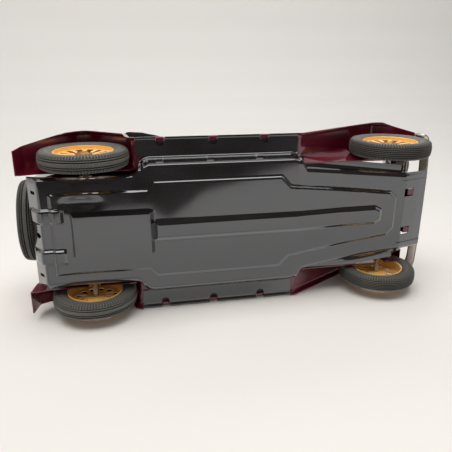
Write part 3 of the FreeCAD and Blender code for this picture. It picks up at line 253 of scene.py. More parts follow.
finishes = {
    "black_enamel": material("black_enamel", tone(14, 12, 13), tone(24, 21, 22), 60, rough=0.12, specular=1.0,
                             coat=1.0, coat_ior=1.9, bump=0.04, bump_scale=45),
    "maroon_enamel": material("maroon_enamel", tone(88, 10, 30), tone(108, 18, 42), 70, rough=0.2, specular=0.6,
                              coat=1.0, coat_ior=1.6, bump=0.03, bump_scale=60),
    "yellow_enamel": material("yellow_enamel", tone(248, 191, 100), tone(253, 205, 124), 250, rough=0.3,
                              coat=0.4, bump=0.02, bump_scale=300),
    "nickel": material("nickel", tone(190, 186, 176), tone(214, 210, 200), 220, rough=0.22, rough_spread=0.08,
                       metal=1.0, bump=0.02, bump_scale=400),
    "cap_bronze": material("cap_bronze", tone(168, 118, 62), tone(196, 146, 84), 300, rough=0.3, metal=0.85),
    "rubber": material("rubber", tone(54, 56, 57), tone(122, 119, 110), 34, rough=0.5, specular=0.5, bump=0.06,
                       bump_scale=1500),
    "top_cloth": material("top_cloth", tone(13, 16, 14), tone(24, 28, 25), 500, rough=0.9, specular=0.05,
                          bump=0.12, bump_scale=2500, sheen=0.02),
    "seat_leather": material("seat_leather", tone(70, 20, 26), tone(92, 32, 36), 160, rough=0.5, bump=0.08,
                             bump_scale=1400),
    "panel_enamel": material("panel_enamel", tone(120, 88, 54), tone(150, 112, 70), 120, rough=0.3, coat=0.5,
                             stretch=(1, 8, 8)),
    "black_trim": material("black_trim", tone(20, 20, 20), tone(32, 32, 32), 200, rough=0.35),
    "clear_pane": material("clear_pane", tone(238, 242, 240), tone(228, 234, 232), 50, rough=0.03,
                           rough_spread=0.02, transmission=1.0, ior=1.45),
    "lamp_lens": material("lamp_lens", tone(240, 240, 232), tone(225, 226, 220), 300, rough=0.12,
                          transmission=0.85, ior=1.45, bump=0.05, bump_scale=600),
    "red_lamp": material("red_lamp", tone(150, 8, 14), tone(190, 20, 26), 400, rough=0.15, coat=1.0),
    "gear_brass": material("gear_brass", tone(200, 160, 80), tone(220, 184, 108), 300, rough=0.3, metal=1.0),
    "flywheel_iron": material("flywheel_iron", tone(96, 94, 92), tone(120, 118, 114), 300, rough=0.4, metal=1.0),
    "zinc_steel": material("zinc_steel", tone(168, 168, 164), tone(192, 192, 186), 260, rough=0.35, metal=1.0),
}


def paint_groove_shade(made):
    """Darken a finish by a point attribute: painted shade in the grooves and between the teeth of a tyre."""
    tree = made.node_tree
    shader = tree.nodes["Principled BSDF"]
    amount = tree.nodes.new("ShaderNodeAttribute")
    amount.attribute_name = "groove_shade"
    groove_shade_mix = colour_mix(tree)
    # Near-black colour of the painted shade.
    groove_shade_mix.inputs["B"].default_value = tone(10, 10, 11)
    tree.links.new(amount.outputs["Fac"], groove_shade_mix.inputs["Factor"])
    tree.links.new(shader.inputs["Base Color"].links[0].from_socket, groove_shade_mix.inputs["A"])
    tree.links.new(groove_shade_mix.outputs["Result"], shader.inputs["Base Color"])


# Painted shade in the tyre's grooves and between its teeth.
paint_groove_shade(finishes["rubber"])


def dress(thing, finish):
    thing.data.materials.clear()
    thing.data.materials.append(finishes[finish])


def add(thing, finish, body="chassis", *replaced):
    """Declare one piece: its finish, the body that it rides on and the CAD nodes that it stands for."""
    dress(thing, finish)
    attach(thing, body)
    if replaced:
        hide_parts(*replaced)
    return thing


for name, thing in nodes.items():
    for slot in thing.material_slots:
        stem = slot.material.name.split(".")[0] if slot.material else ""
        if stem in finishes:
            slot.material = finishes[stem]
        else:
            print("no finish for", name, stem)

# ---------------------------------------------------------------- chassis pan

PAN_PROFILE = [(113.8, 23.3), (107.9, 15.2), (91.9, 16.5), (61.3, 15.6), (-32.9, 15.6), (-59.9, 18.1),
               (-101.8, 18.9), (-112.8, 22.1), (-118.8, 24.1)]
PAN_HALF = [(-120, 24.5), (-100.8, 24.5), (-37.5, 31.6), (-33.5, 38.0), (-30.0, 39.2), (51.0, 39.2), (54.0, 38.0),
            (56.2, 35.4), (57.6, 32.4), (59.5, 31.0), (62.0, 30.8), (115, 30.8)]
PAN_STEP = 0.5
BOARD_FRONT, BOARD_REAR, BOARD_HALF, BOARD_Z = -32.9, 57.3, 49.3, 22.2
NOTCHES = (-13.6, 15.4, 44.4)
NOTCH_RADIUS, NOTCH_DEPTH = 2.3, 4.4
TIN = 0.6
PANEL = symmetric([(9.3, -96.0), (13.3, -92.0), (20.9, -27.9), (26.8, -22.4), (26.8, 48.6), (22.4, 52.4),
                   (22.4, 103.0)])
TUNNEL = symmetric([(2.8, -86.0), (4.8, -82.0), (4.8, 48.6)])
BOX_HALF, BOX_FRONT, BOX_REAR, BOX_DEPTH = 11.7, 52.2, 91.2, 5.1
RAILS = ((-14.4, -7.2), (8.2, 16.0))


def pan_half(y):
    ys, halves = zip(*PAN_HALF)
    return np.interp(y, ys, halves)


def pan_relief(x, y):
    """How far the pan is pressed out at a place."""
    panel = 1.3 * soft_step(inside_distance(x, y, PANEL, 0.0), -0.85, 0.85)
    panel = panel * soft_step(106.0 - y, 0.0, 6.0)
    tunnel = 1.4 * soft_step(inside_distance(x, y, TUNNEL, 0.0), -1.4, 1.3)
    sides = soft_step(BOX_HALF - np.abs(x), -0.45, 0.35)
    ends = np.minimum(soft_step(y - BOX_FRONT, -3.4, 0.2), soft_step(BOX_REAR - y, -2.2, 0.2))
    relief = np.maximum(panel + tunnel, panel + BOX_DEPTH * np.minimum(sides, ends))
    for low, high in RAILS:
        middle, half = (low + high) / 2, (high - low) / 2
        ridge = 1.5 * soft_step(half - np.abs(x - middle), -0.6, 0.7) * soft_step(y, 96.0, 98.4)
        relief = relief + ridge * soft_step(113.4 - y, 0.0, 2.4)
    dish = np.exp(-(((x + 17.3) / 3.4) ** 2 + ((y - 87.0) / 8.0) ** 2) ** 1.4)
    return relief - 0.75 * dish


def pan_columns():
    """Places across the pan: even near the middle, with finer lines at the steep walls."""
    even = np.arange(0, 20.01, PAN_STEP)
    fine = np.concatenate([wall + np.arange(-0.6, 0.61, 0.15) for wall in (BOX_HALF,)])
    half = np.unique(np.round(np.concatenate([even, fine, [14.6, 9.8]]), 3))
    return np.concatenate([-half[:0:-1], half])


def pan_rows():
    """Side profile with finer lines over the end walls of the motor box."""
    path = rounded(PAN_PROFILE, 3.0, PAN_STEP)
    extra = []
    for low, high in ((BOX_FRONT - 3.6, BOX_FRONT + 0.6), (BOX_REAR - 0.6, BOX_REAR + 2.4), (96.0, 98.6)):
        for before, after in zip(path[:-1], path[1:]):
            if low < before[0] < high:
                extra.append((before + after) / 2)
    for y in (-108.9, -101.9):
        extra.append(np.array([y, np.interp(-y, -path[:, 0], path[:, 1])]))
    path = np.concatenate([path, extra])
    return path[np.argsort(-path[:, 0], kind="stable")]


def build_pan():
    path = pan_rows()
    heading = np.gradient(path, axis=0)
    heading /= np.linalg.norm(heading, axis=1)[:, None]
    normal = np.stack([-heading[:, 1], heading[:, 0]], axis=1)
    rows = len(path)
    half = pan_half(path[:, 0])
    board = soft_step(path[:, 0], BOARD_FRONT - 1.5, BOARD_FRONT + 0.5)
    board = board * soft_step(-path[:, 0], -BOARD_REAR + 0.2, -BOARD_REAR + 2.4)
    wall_top = np.interp(path[:, 0], [-118.8, -103.8, 103.9, 113.8], [24.7, 20.8, 20.6, 23.9])
    wall = wall_top - path[:, 1]
    plain = np.array([(-4.6, 0), (-3.4, 0), (-2.3, 0.05), (-1.5, 0.25), (-0.9, 0.65), (-0.35, 1.4), (0, 2.6),
                      (0, 3.0)])
    sloped = np.array([(-4.6, 0), (-3.9, 0.12), (-3.3, 0.55), (-2.75, 1.4), (-0.75, 5.0), (-0.2, 5.9), (0.3, 6.4),
                       (0.9, 6.6)])
    middle = pan_columns()
    spread = np.linspace(0, 1, 33)[1:-1]
    points = []
    for i in range(rows):
        y, z = path[i]
        top = (1 - board[i]) * wall[i] + board[i] * 6.6
        shrink = min(1.0, wall[i] / 3.0)
        edge = (1 - board[i]) * plain * [1, shrink] + board[i] * sloped
        edge[-1, 1] = max(top, edge[-2, 1] + 0.01)
        outer = half[i] - 4.6
        beside = 20.0 + spread * (outer - 20.0)
        x = np.concatenate([-(half[i] + edge[::-1, 0]), -beside[::-1], middle, beside, half[i] + edge[:, 0]])
        flat = np.zeros(len(middle) + 2 * len(beside))
        rise = np.concatenate([edge[::-1, 1], flat, edge[:, 1]])
        depth = pan_relief(x, np.full(x.shape, y))
        points.append(np.stack([x, y + normal[i, 0] * depth, z + normal[i, 1] * depth + rise], axis=1))
    points = np.array(points)
    columns = points.shape[1]
    flat_points = points.reshape(-1, 3)
    faces = [f for f in grid_faces(rows, columns) if not in_slot(flat_points[list(f)].mean(axis=0))]
    sheet = make_object("pan", flat_points, faces, sharp=70)
    modify(sheet, "SOLIDIFY", thickness=TIN * MM, offset=-1.0)
    extras = [build_board(side) for side in (-1, 1)] + [build_flange(side) for side in (-1, 1)]
    return join("pan", sheet, *extras)


def in_slot(place):
    """Whether a place lies in one of the slots for the body's tabs."""
    x, y, z = place
    if abs(abs(x) - 12.2) < 2.4 and -108.9 < y < -101.9:
        return True
    if y > 106 and abs(abs(x) - 23.2) < 0.8 and 17.6 < z < 21.0:
        return True
    return y > 106 and math.hypot(x, z - 18.1) < 1.6


def build_board(side):
    """Running board: a flat strip with a rolled edge and three round-bottomed notches."""
    mouths = [np.array(notch + NOTCH_RADIUS * np.sin(np.linspace(-1, 1, 17) * math.pi / 2)) for notch in NOTCHES]
    ys = np.unique(np.round(np.concatenate([np.arange(BOARD_FRONT, BOARD_REAR + 0.01, 0.6)] + mouths), 3))
    inner = 39.5
    across = np.linspace(inner, 48.2, 22)
    rim = [(48.7, -0.05), (49.05, -0.25), (49.3, -0.7), (49.3, -1.3)]
    points = []
    for y in ys:
        row = [(x, 0.0) for x in across] + rim
        reach = min(abs(y - notch) for notch in NOTCHES)
        if reach <= NOTCH_RADIUS:
            floor = BOARD_HALF - NOTCH_DEPTH + NOTCH_RADIUS - math.sqrt(max(0, NOTCH_RADIUS ** 2 - reach ** 2))
            row = [(inner + (floor - inner) * k / (len(row) - 1), 0.0) for k in range(len(row))]
        points += [(side * x, y, BOARD_Z + z) for x, z in row]
    columns = len(across) + len(rim)
    board = make_object("board", points, grid_faces(len(ys), columns, flip=side > 0), sharp=50)
    return modify(board, "SOLIDIFY", thickness=TIN * MM, offset=-1.0)


def build_flange(side):
    """Narrow flange bent outwards from the pan's rim beside the front wheel; its black stands partly for the pan's
    wall and partly for painted shade under the fender's apron.
    """
    points = []
    for y in np.linspace(-98.5, -35.0, 43):
        inner = pan_half(y) - 0.4
        outer = min(32.4, inner + 5.0)
        points += [(side * x, y, 20.5 + 0.25 * math.sin((x - inner) * 0.7)) for x in np.linspace(inner, outer, 6)]
    flange = make_object("flange", points, grid_faces(43, 6, flip=side < 0))
    return modify(flange, "SOLIDIFY", thickness=0.5 * MM, offset=0.0)


def build_tabs():
    """Six tabs of the fender sheet, folded round the running boards at the notches."""
    points, faces = [], []
    section = [(47.3, 22.75), (47.3, 22.2), (47.7, 21.95), (49.1, 21.9), (49.5, 22.1), (49.62, 22.6),
               (49.62, 23.5), (49.3, 23.5), (49.3, 22.7), (49.0, 22.3), (47.9, 22.3), (47.6, 22.75)]
    for side in (-1, 1):
        for notch in NOTCHES:
            start = len(points)
            spots = [(-2.3, 0.25), (-2.1, 0.0), (2.1, 0.0), (2.3, 0.25)]
            for shift, shrink in spots:
                middle = np.mean(section, axis=0)
                for x, z in section:
                    x, z = x + (middle[0] - x) * shrink * 0.2, z + (middle[1] - z) * shrink * 0.2
                    points.append((side * x, notch + shift, z))
            count = len(section)
            faces += grid_faces(4, count, False, True, start, flip=side < 0)
            faces += [tuple(range(start, start + count)), tuple(range(start + 3 * count, start + 4 * count))[::-1]]
    return make_object("board_tabs", points, faces, sharp=60)


def build_liners():
    """Black plates behind the notches, inside the board's fold."""
    points, faces = [], []
    for side in (-1, 1):
        for notch in NOTCHES:
            start = len(points)
            for z in (22.86, 22.96):
                corners = ((44.2, -2.9), (47.5, -2.9), (47.5, 2.9), (44.2, 2.9))
                points += [(side * x, notch + y, z) for x, y in corners]
            faces += [tuple(start + i for i in f) for f in ((0, 3, 2, 1), (4, 5, 6, 7), (0, 1, 5, 4), (1, 2, 6, 5),
                                                            (2, 3, 7, 6), (3, 0, 4, 7))]
    return make_object("board_liners", points, faces, smooth=False)


def build_facets():
    """Slanting gusset of each front fender, from its underside down to the pan's flange."""
    pieces = []
    for side in (-1, 1):
        points = []
        for y in np.linspace(-71.5, -37.2, 24):
            top = 22.6 + 0.594 * (-34.5 - y)
            for share in np.linspace(0, 1, 8):
                x = 36.0 + (32.9 - 36.0) * share + 0.3 * math.sin(share * math.pi)
                points.append((side * x, y, top + (20.6 - top) * share))
        facet = make_object("facet", points, grid_faces(24, 8, flip=side > 0))
        pieces.append(modify(facet, "SOLIDIFY", thickness=0.4 * MM, offset=0.0))
    return join("fender_gussets", *pieces)


add(build_pan(), "black_enamel", "chassis", "chassis_pan")
add(build_tabs(), "maroon_enamel")
add(build_facets(), "maroon_enamel")
add(build_liners(), "black_trim")

# ---------------------------------------------------------------- wheels

WHEELS = {"front": -91.0, "rear": 84.0}
HALF_TRACK, TYRE_RADIUS = 40.0, 23.5
TEETH, STEPS_PER_TOOTH, WINDOWS = 92, 6, 12


def tyre_profile(ribs):
    """Section of a tyre (across, radius) from one bead over the rounded tread to the other."""
    across = np.linspace(-3.3, 3.3, 67)
    crown = TYRE_RADIUS - 0.55 * (np.abs(across) / 3.3) ** 2.4
    for rib in ribs:
        crown -= 0.85 * np.exp(-((across - rib) / 0.26) ** 2)
    shoulder = [(3.3, 22.95), (4.25, 22.2), (4.65, 20.4), (4.5, 18.4), (3.7, 16.5), (3.2, 15.75)]
    shoulder = rounded(shoulder, 1.6, 0.33)
    tread = np.stack([across, crown], axis=1)
    left = shoulder[::-1] * [-1, 1]
    return np.concatenate([left[:-1], tread, shoulder[1:]])


def build_tyre(name, centre, ribs, axis="x"):
    """Rubber tyre: ribbed tread, slanted blocks in its middle and serrated shoulders."""
    profile = tyre_profile(ribs)
    count = TEETH * STEPS_PER_TOOTH
    closing = np.array([(1.5, 15.72), (0.0, 15.72), (-1.5, 15.72)])
    profile = np.concatenate([profile, closing])
    reach = np.abs(profile[:, 0])
    turn = np.arange(count)[:, None] / STEPS_PER_TOOTH
    teeth = ((turn % 1.0) < 0.45).astype(float)
    band = np.clip((profile[:, 1] - 19.6) * 1.5, 0, 1) * np.clip((reach - 2.7) * 2.5, 0, 1)
    blocks = ((turn + 0.45 * reach[None, :]) % 1.0) < 0.3
    blocks = blocks * np.clip((2.6 - reach) * 3, 0, 1) * (profile[:, 1] > 22)
    thing = turned(name, profile, count, centre, axis, -0.8 * teeth * band[None, :] - 0.22 * blocks, 50)
    grooves = sum(np.exp(-((profile[:, 0] - rib) / 0.24) ** 2) for rib in ribs) * (profile[:, 1] > 20)
    # Painted shade: how dark the grooves, the gaps between the shoulder teeth and the gaps between the tread
    # blocks are painted.
    groove_shade = np.clip(0.9 * grooves[None, :] + 0.62 * teeth * band[None, :] + 0.2 * blocks, 0, 1)
    thing.data.attributes.new("groove_shade", "FLOAT", "POINT").data.foreach_set("value", groove_shade.ravel())
    return thing


def build_disc(name, centre, side, axis="x"):
    """Stamped wheel disc: rim barrel, flange, twelve radial windows and a raised hub seat."""
    barrel = [(-3.55, 15.6), (-3.55, 15.0), (-3.2, 14.7), (1.2, 14.7), (1.6, 14.3)]
    web = [(1.75, 13.6), (1.75, 12.9), (1.7, 12.3)] + [(1.65 - 0.06 * k, 12.0 - 0.5 * k) for k in range(13)]
    seat = [(0.7, 5.3), (0.5, 4.9), (0.5, 4.4), (0.45, 3.4), (0.45, 1.62)]
    profile = np.array(barrel + web + seat)
    count = 288
    turn = np.arange(count) / count * WINDOWS
    middle = np.abs((turn % 1.0) - 0.5)
    lift = 0.35 * soft_step(middle, 0.31, 0.45)[:, None]
    zone = (soft_step(profile[:, 1], 5.2, 6.2) * soft_step(-profile[:, 1], -12.0, -11.2))[None, :]
    across = side * (profile[None, :, 0] + lift * zone)
    radius = np.repeat(profile[None, :, 1], count, axis=0)
    angle = (np.arange(count) * 2 * math.pi / count)[:, None]
    u, v = radius * np.cos(angle), radius * np.sin(angle)
    order = {"x": (across, u, v), "y": (u, across, v)}[axis]
    points = np.stack(order, axis=2).reshape(-1, 3) + np.asarray(centre, float)
    faces = []
    columns = len(profile)
    for face in grid_faces(count, columns, wrap_rows=True, flip=(side > 0) == (axis == "x")):
        row, column = divmod(face[0], columns)
        column = min(i % columns for i in face)
        middle_r = profile[column:column + 2, 1].mean()
        phase = ((row + 0.5) / count * WINDOWS) % 1.0
        width = 0.31 - 0.05 * abs(middle_r - 9.2) / 3.0
        if 6.1 < middle_r < 12.3 and abs(phase - 0.5) < width:
            continue
        faces.append(face)
    disc = make_object(name, points, faces)
    modify(disc, "SOLIDIFY", thickness=0.45 * MM, offset=0.0)
    lip = ring([(3.0, 14.85), (3.5, 14.9), (3.6, 15.3), (3.4, 15.68), (0.6, 15.68), (0.6, 14.8)], 144, (0, 0, 0))
    lip[:, 0] *= side
    if axis == "y":
        lip = lip[:, [1, 0, 2]]
    hoop = make_object(name + "_lip", lip + np.asarray(centre, float), grid_faces(144, 6, True, True))
    return join(name, disc, hoop)


def build_cap(name, centre, side, axis="x"):
    """Hub cap with a knurled skirt and a domed middle."""
    outline = [(0.0, 4.3), (0.3, 4.4), (1.1, 4.35), (1.35, 3.9), (1.4, 3.2), (1.25, 2.9), (1.75, 2.5), (2.05, 1.6),
               (2.2, 0.5), (2.2, 0.02)]
    profile = rounded(outline, 0.3, 0.2)
    profile = np.concatenate([[(0.0, 0.02)], [(0.0, 2.0)], profile])
    count = 120
    knurl = (np.arange(count) % 4 < 2).astype(float)[:, None] * (profile[:, 1] > 4.1)[None, :]
    return turned(name, profile * [side, 1], count, centre, axis, -0.16 * knurl)


REAR_RIBS = (-2.4, -1.3, 1.3, 2.4)
FRONT_RIBS = (-2.5, -1.5, -0.5, 0.5, 1.5, 2.5)
CAP_X = 40.85
for end, wheel_y in WHEELS.items():
    for label, side in (("left", 1), ("right", -1)):
        tag = end + "_" + label
        centre = (side * HALF_TRACK, wheel_y, TYRE_RADIUS)
        ribs = FRONT_RIBS if end == "front" else REAR_RIBS
        rider = end + "_wheels"
        add(build_tyre("tyre_" + tag + "_ribbed", centre, ribs), "rubber", rider, "tyre_" + tag)
        add(build_disc("disc_" + tag, centre, side), "yellow_enamel", rider, "wheel_disc_" + tag)
        cap_place = (side * CAP_X, wheel_y, TYRE_RADIUS)
        add(build_cap("cap_" + tag, cap_place, side), "cap_bronze", rider, "hub_cap_" + tag)

SPARE_Y, SPARE_Z = 117.55, 47.0
add(build_tyre("tyre_spare_ribbed", (0, SPARE_Y, SPARE_Z), REAR_RIBS, "y"), "rubber", "chassis", "spare_tyre")
add(build_disc("disc_spare", (0, SPARE_Y, SPARE_Z), 1, "y"), "yellow_enamel", "chassis", "spare_disc")
add(build_cap("cap_spare", (0, SPARE_Y + 0.95, SPARE_Z), 1, "y"), "cap_bronze", "chassis", "spare_hub_cap")

# ---------------------------------------------------------------- bumper and nose


def build_bumper():
    """Plated blade with a crowned face and ends curled back on themselves."""
    half = [(0, -122.0), (22, -121.8), (38, -121.1), (44.2, -119.6), (45.6, -117.4), (44.6, -115.6),
            (43.2, -116.0)]
    path = rounded(np.array([(-x, y) for x, y in half[:0:-1]] + half), 2.5, 0.9)
    heading = np.gradient(path, axis=0)
    heading /= np.linalg.norm(heading, axis=1)[:, None]
    outward = np.stack([heading[:, 1], -heading[:, 0]], axis=1)
    rise = np.array([0.0, 0.25, 1.2, 3.0, 4.5, 6.0, 7.8, 8.75, 9.0])
    crown = np.array([-0.55, -0.15, 0.0, 0.14, 0.18, 0.14, 0.0, -0.15, -0.55])
    points = []
    for spot, out in zip(path, outward):
        for z, push in zip(rise, crown):
            points.append((spot[0] + out[0] * push, spot[1] + out[1] * push, 28.5 + z))
    blade = make_object("bumper_blade", points, grid_faces(len(path), len(rise)), sharp=60)
    return modify(blade, "SOLIDIFY", thickness=0.5 * MM, offset=0.0)


def build_brackets():
    """Flat arms from the pan to the bumper, cut away below."""
    outline = [(-111.9, 24.85), (-117.2, 24.85), (-120.8, 30.2), (-120.8, 35.4), (-118.2, 35.4), (-113.4, 28.6),
               (-111.9, 28.4)]
    arms = [block("arm", outline, side * 19 - 1.2, side * 19 + 1.2, "x") for side in (-1, 1)]
    for arm in arms:
        modify(arm, "BEVEL", width=0.25 * MM, segments=2)
    return join("bumper_arms", *arms)


# ---------------------------------------------------------------- trim on the body


def body_surface(*names):
    """Search tree over the outside of some CAD nodes."""
    points, faces = [], []
    for name in names:
        thing = nodes[name]
        start = len(points)
        points += [thing.matrix_world @ v.co for v in thing.data.vertices]
        faces += [tuple(start + i for i in f.vertices) for f in thing.data.polygons]
    return BVHTree.FromPolygons(points, faces)


def laid(tree, spots, direction, start):
    """Points of the surface met along a direction from a starting coordinate, with their normals."""
    hits = []
    for spot in spots:
        origin = Vector(spot) * MM - Vector(direction) * (start * MM)
        place, normal = tree.ray_cast(origin, Vector(direction))[:2]
        if place is None:
            continue
        if normal.dot(Vector(direction)) > 0:
            normal = -normal
        hits.append((np.array(place) / MM, np.array(normal)))
    return hits


def bead(name, hits, width, height, sink=0.15):
    """Half-round moulding laid along surface points."""
    places = np.array([h[0] for h in hits])
    normals = np.array([h[1] for h in hits])
    heading = np.gradient(places, axis=0)
    heading /= np.linalg.norm(heading, axis=1)[:, None]
    across = np.cross(normals, heading)
    across /= np.linalg.norm(across, axis=1)[:, None]
    section = [(-width / 2, -sink), (-width / 2, 0.02)]
    section += [(-width / 2 * math.cos(a), height * math.sin(a)) for a in np.linspace(0.5, math.pi - 0.5, 6)]
    section += [(width / 2, 0.02), (width / 2, -sink)]
    count = len(section)
    points = [places[i] + across[i] * a + normals[i] * b for i in range(len(places)) for a, b in section]
    faces = grid_faces(len(places), count, False, True)
    faces += [tuple(range(count)), tuple(range((len(places) - 1) * count, len(places) * count))[::-1]]
    return make_object(name, points, faces, sharp=50)


def both_sides(tree, path, step=1.2):
    """Surface points on the two flanks of the body along a (y, z) path."""
    path = rounded(np.asarray(path, float), 3.0, step)
    return [laid(tree, [(0, y, z) for y, z in path], (-side, 0, 0), 80) for side in (1, -1)]


def build_mouldings():
    """Belt line along hood, doors and tail, and the hinge rod along the middle of the hood."""
    whole = body_surface("body_tub", "hood_cover")
    pieces = []
    for hits in both_sides(whole, [(104, 44.5), (90, 50.5), (66, 55.5), (36, 57.0), (-10, 56.8), (-38, 54.0),
                                   (-74, 51.6), (-109, 48.8)]):
        pieces.append(bead("belt", hits, 1.5, 0.55))
    spine = laid(whole, [(0, y, 0) for y in np.linspace(-109, -40, 60)], (0, 0, -1), 120)
    pieces.append(bead("hinge", spine, 1.1, 0.5))
    for side in (1, -1):
        cowl = laid(whole, [(x, -36.6, 0) for x in np.linspace(1, 26.0, 30) * side], (0, 0, -1), 120)
        pieces.append(bead("cowl", cowl, 1.0, 0.4))
    return join("body_mouldings", *pieces)


def build_seams():
    """Shut lines of the doors and of the rear deck."""
    tub = body_surface("body_tub")
    pieces = []
    door = [(-20.0, 55.6), (-20.0, 33.0), (-14.0, 27.6), (24.0, 27.6), (30.0, 33.0), (30.0, 55.6)]
    for hits in both_sides(tub, door, 0.8):
        pieces.append(bead("door", hits, 0.42, 0.05, 0.1))
    for y in (70.0, 106.0):
        for side in (1, -1):
            edge = laid(tub, [(x, y, 0) for x in np.linspace(0.5, 19.0, 26) * side], (0, 0, -1), 120)
            pieces.append(bead("deck", edge, 0.42, 0.05, 0.1))
    for side in (1, -1):
        edge = laid(tub, [(side * 19.0, y, 0) for y in np.linspace(70, 106, 40)], (0, 0, -1), 120)
        pieces.append(bead("deck", edge, 0.42, 0.05, 0.1))
    return join("shut_lines", *pieces)


def build_louvre_hoods():
    """Pressed lips over the louvre slits of the hood."""
    flank = body_surface("hood_cover")
    pieces = []
    for number in range(9):
        y = -48.0 - 5.0 * number - 0.9
        for hits in both_sides(flank, [(y, 33.0), (y, 47.4)], 0.9):
            if len(hits) > 4:
                pieces.append(bead("louvre", hits, 1.5, 0.7, 0.1))
    return join("louvre_lips", *pieces)


def build_latches():
    """Hood catches and the pull on the rear deck."""
    whole = body_surface("body_tub", "hood_cover")
    pieces = []
    for y in (-44.0, -102.0):
        for hits in both_sides(whole, [(y, 33.5), (y, 38.5)], 0.8):
            pieces.append(bead("latch", hits, 1.3, 0.8))
    pull = laid(whole, [(x, 102.5, 0) for x in np.linspace(-4, 4, 12)], (0, 0, -1), 120)
    pieces.append(bead("pull", pull, 1.2, 0.9))
    return join("body_latches", *pieces)


add(build_mouldings(), "maroon_enamel")
add(build_seams(), "black_trim")
add(build_louvre_hoods(), "maroon_enamel")
add(build_latches(), "nickel")

# ---------------------------------------------------------------- radiator, lamps and instruments


def build_core():
    """Radiator core: a dark backing with thin upright fins and three cross bars."""
    half, low, crown, rise = 12.7, 26.9, 57.2, 8.0
    bend = (half * half + rise * rise) / (2 * rise)

    def top(x):
        return crown - bend + math.sqrt(bend * bend - x * x) - 0.15

    outline = [(x, top(x)) for x in np.linspace(-half, half, 25)] + [(half, low), (-half, low)]
    pieces = [block("backing", outline, -113.4, -111.4, "y")]
    for x in np.linspace(-half + 0.9, half - 0.9, 19):
        fin = [(-114.15, low), (-113.2, low), (-113.2, top(x)), (-114.15, top(x) - 0.2)]
        pieces.append(block("fin", fin, x - 0.16, x + 0.16, "x"))
    for z in (34.0, 41.5, 49.0):
        bar = [(-113.9, z - 0.16), (-113.2, z - 0.16), (-113.2, z + 0.16), (-113.9, z + 0.16)]
        pieces.append(block("bar", bar, -half + 0.1, half - 0.1, "x"))
    whole = join("radiator_fins", *pieces)
    whole.data.shade_flat()
    return whole


def build_reflectors():
    """Bright bowls and bulbs inside the headlamps, and the rims round their lenses."""
    pieces = []
    for side in (1, -1):
        bowl = [(-3.0, 0.05), (-2.6, 2.4), (-5.0, 4.6), (-9.4, 6.6), (-9.4, 6.9), (-4.8, 4.9),
                (-2.2, 2.6), (-2.4, 0.05)]
        place = (side * 23.0, -104.0, 50.5)
        pieces.append(turned("bowl", rounded(bowl, 0.6, 0.45), 48, place, "y"))
        bulb = [(-3.0, 0.05), (-3.2, 0.9), (-5.2, 1.2), (-6.4, 0.8), (-6.7, 0.05)]
        pieces.append(turned("bulb", rounded(bulb, 0.4, 0.3), 24, place, "y"))
        rim = [(-12.2, 8.0), (-12.2, 8.35), (-12.9, 8.45), (-13.4, 8.1), (-13.4, 7.45), (-12.9, 7.5)]
        pieces.append(turned("rim", rounded(rim + rim[:1], 0.2, 0.2), 64, place, "y"))
    return join("lamp_reflectors", *pieces)


DIAL_Y, DIAL_Z = -27.55, 52.0


def build_dials():
    """Three round instruments and a row of knobs on the panel."""
    rims, faces = [], []
    for x, radius in ((-17.0, 3.4), (-8.0, 3.9), (1.0, 3.4)):
        place = (x, DIAL_Y, DIAL_Z)
        section = [(0.0, radius - 0.5), (0.0, radius), (0.35, radius), (0.5, radius - 0.25), (0.3, radius - 0.5)]
        rims.append(turned("rim", section, 48, place, "y", sharp=60))
        disc = [(0.0, 0.02), (0.0, radius - 0.45), (0.18, radius - 0.45), (0.2, 0.02)]
        faces.append(turned("face", disc, 48, place, "y", sharp=60))
        foot, tip = DIAL_Z - 0.5, DIAL_Z + radius * 0.7
        needle = [(x - 0.12, foot), (x + 0.12, foot), (x + 0.05, tip), (x - 0.05, tip)]
        rims.append(block("needle", needle, -27.32, -27.2, "y"))
    for x in (-12.6, -3.4, 6.2):
        knob = [(0.0, 0.02), (0.0, 0.5), (0.7, 0.5), (0.9, 0.9), (1.4, 0.9), (1.6, 0.6), (1.6, 0.02)]
        rims.append(turned("knob", knob, 20, (x, DIAL_Y, 47.6), "y"))
    return join("dial_rims", *rims), join("dial_faces", *faces)


add(build_core(), "black_trim", "chassis", "radiator_core")
add(build_reflectors(), "nickel")
dial_rims, dial_faces = build_dials()
add(dial_rims, "nickel")
add(dial_faces, "black_trim")

# ---------------------------------------------------------------- soft goods


CLOTH_SCALE, CLOTH_FRAMES = 10, 16


def inflate(thing, voxel, limit):
    """Turn a block into a stuffed pad: even mesh, then cloth under pressure, with every move capped."""
    modify(thing, "REMESH", mode="VOXEL", voxel_size=voxel * MM)
    mesh = thing.data
    before = np.array([v.co for v in mesh.vertices])
    mesh.vertices.foreach_set("co", (before * CLOTH_SCALE).ravel())
    cloth = thing.modifiers.new("pad", "CLOTH")
    cloth.settings.effector_weights.gravity = 0
    cloth.settings.use_pressure = True
    cloth.settings.uniform_pressure_force = 4.0
    for frame_number in range(1, CLOTH_FRAMES + 1):
        scene.frame_set(frame_number)
    depsgraph = bpy.context.evaluated_depsgraph_get()
    after = np.array([v.co for v in thing.evaluated_get(depsgraph).data.vertices]) / CLOTH_SCALE
    thing.modifiers.clear()
    scene.frame_set(1)
    move = after - before
    length = np.linalg.norm(move, axis=1)[:, None]
    move = move * np.minimum(1, limit * MM / np.maximum(length, 1e-9))
    mesh.vertices.foreach_set("co", (before + move).ravel())
    mesh.update()
    return thing


def sculpt(thing, depth):
    """Move every vertex along its normal by depth(x, y, z, normal) millimetres."""
    mesh = thing.data
    places = np.array([v.co for v in mesh.vertices])
    normals = np.array([v.normal for v in mesh.vertices])
    x, y, z = (places / MM).T
    places = places + normals * (depth(x, y, z, normals) * MM)[:, None]
    mesh.vertices.foreach_set("co", places.ravel())
    mesh.update()
    mesh.shade_smooth()
    return thing


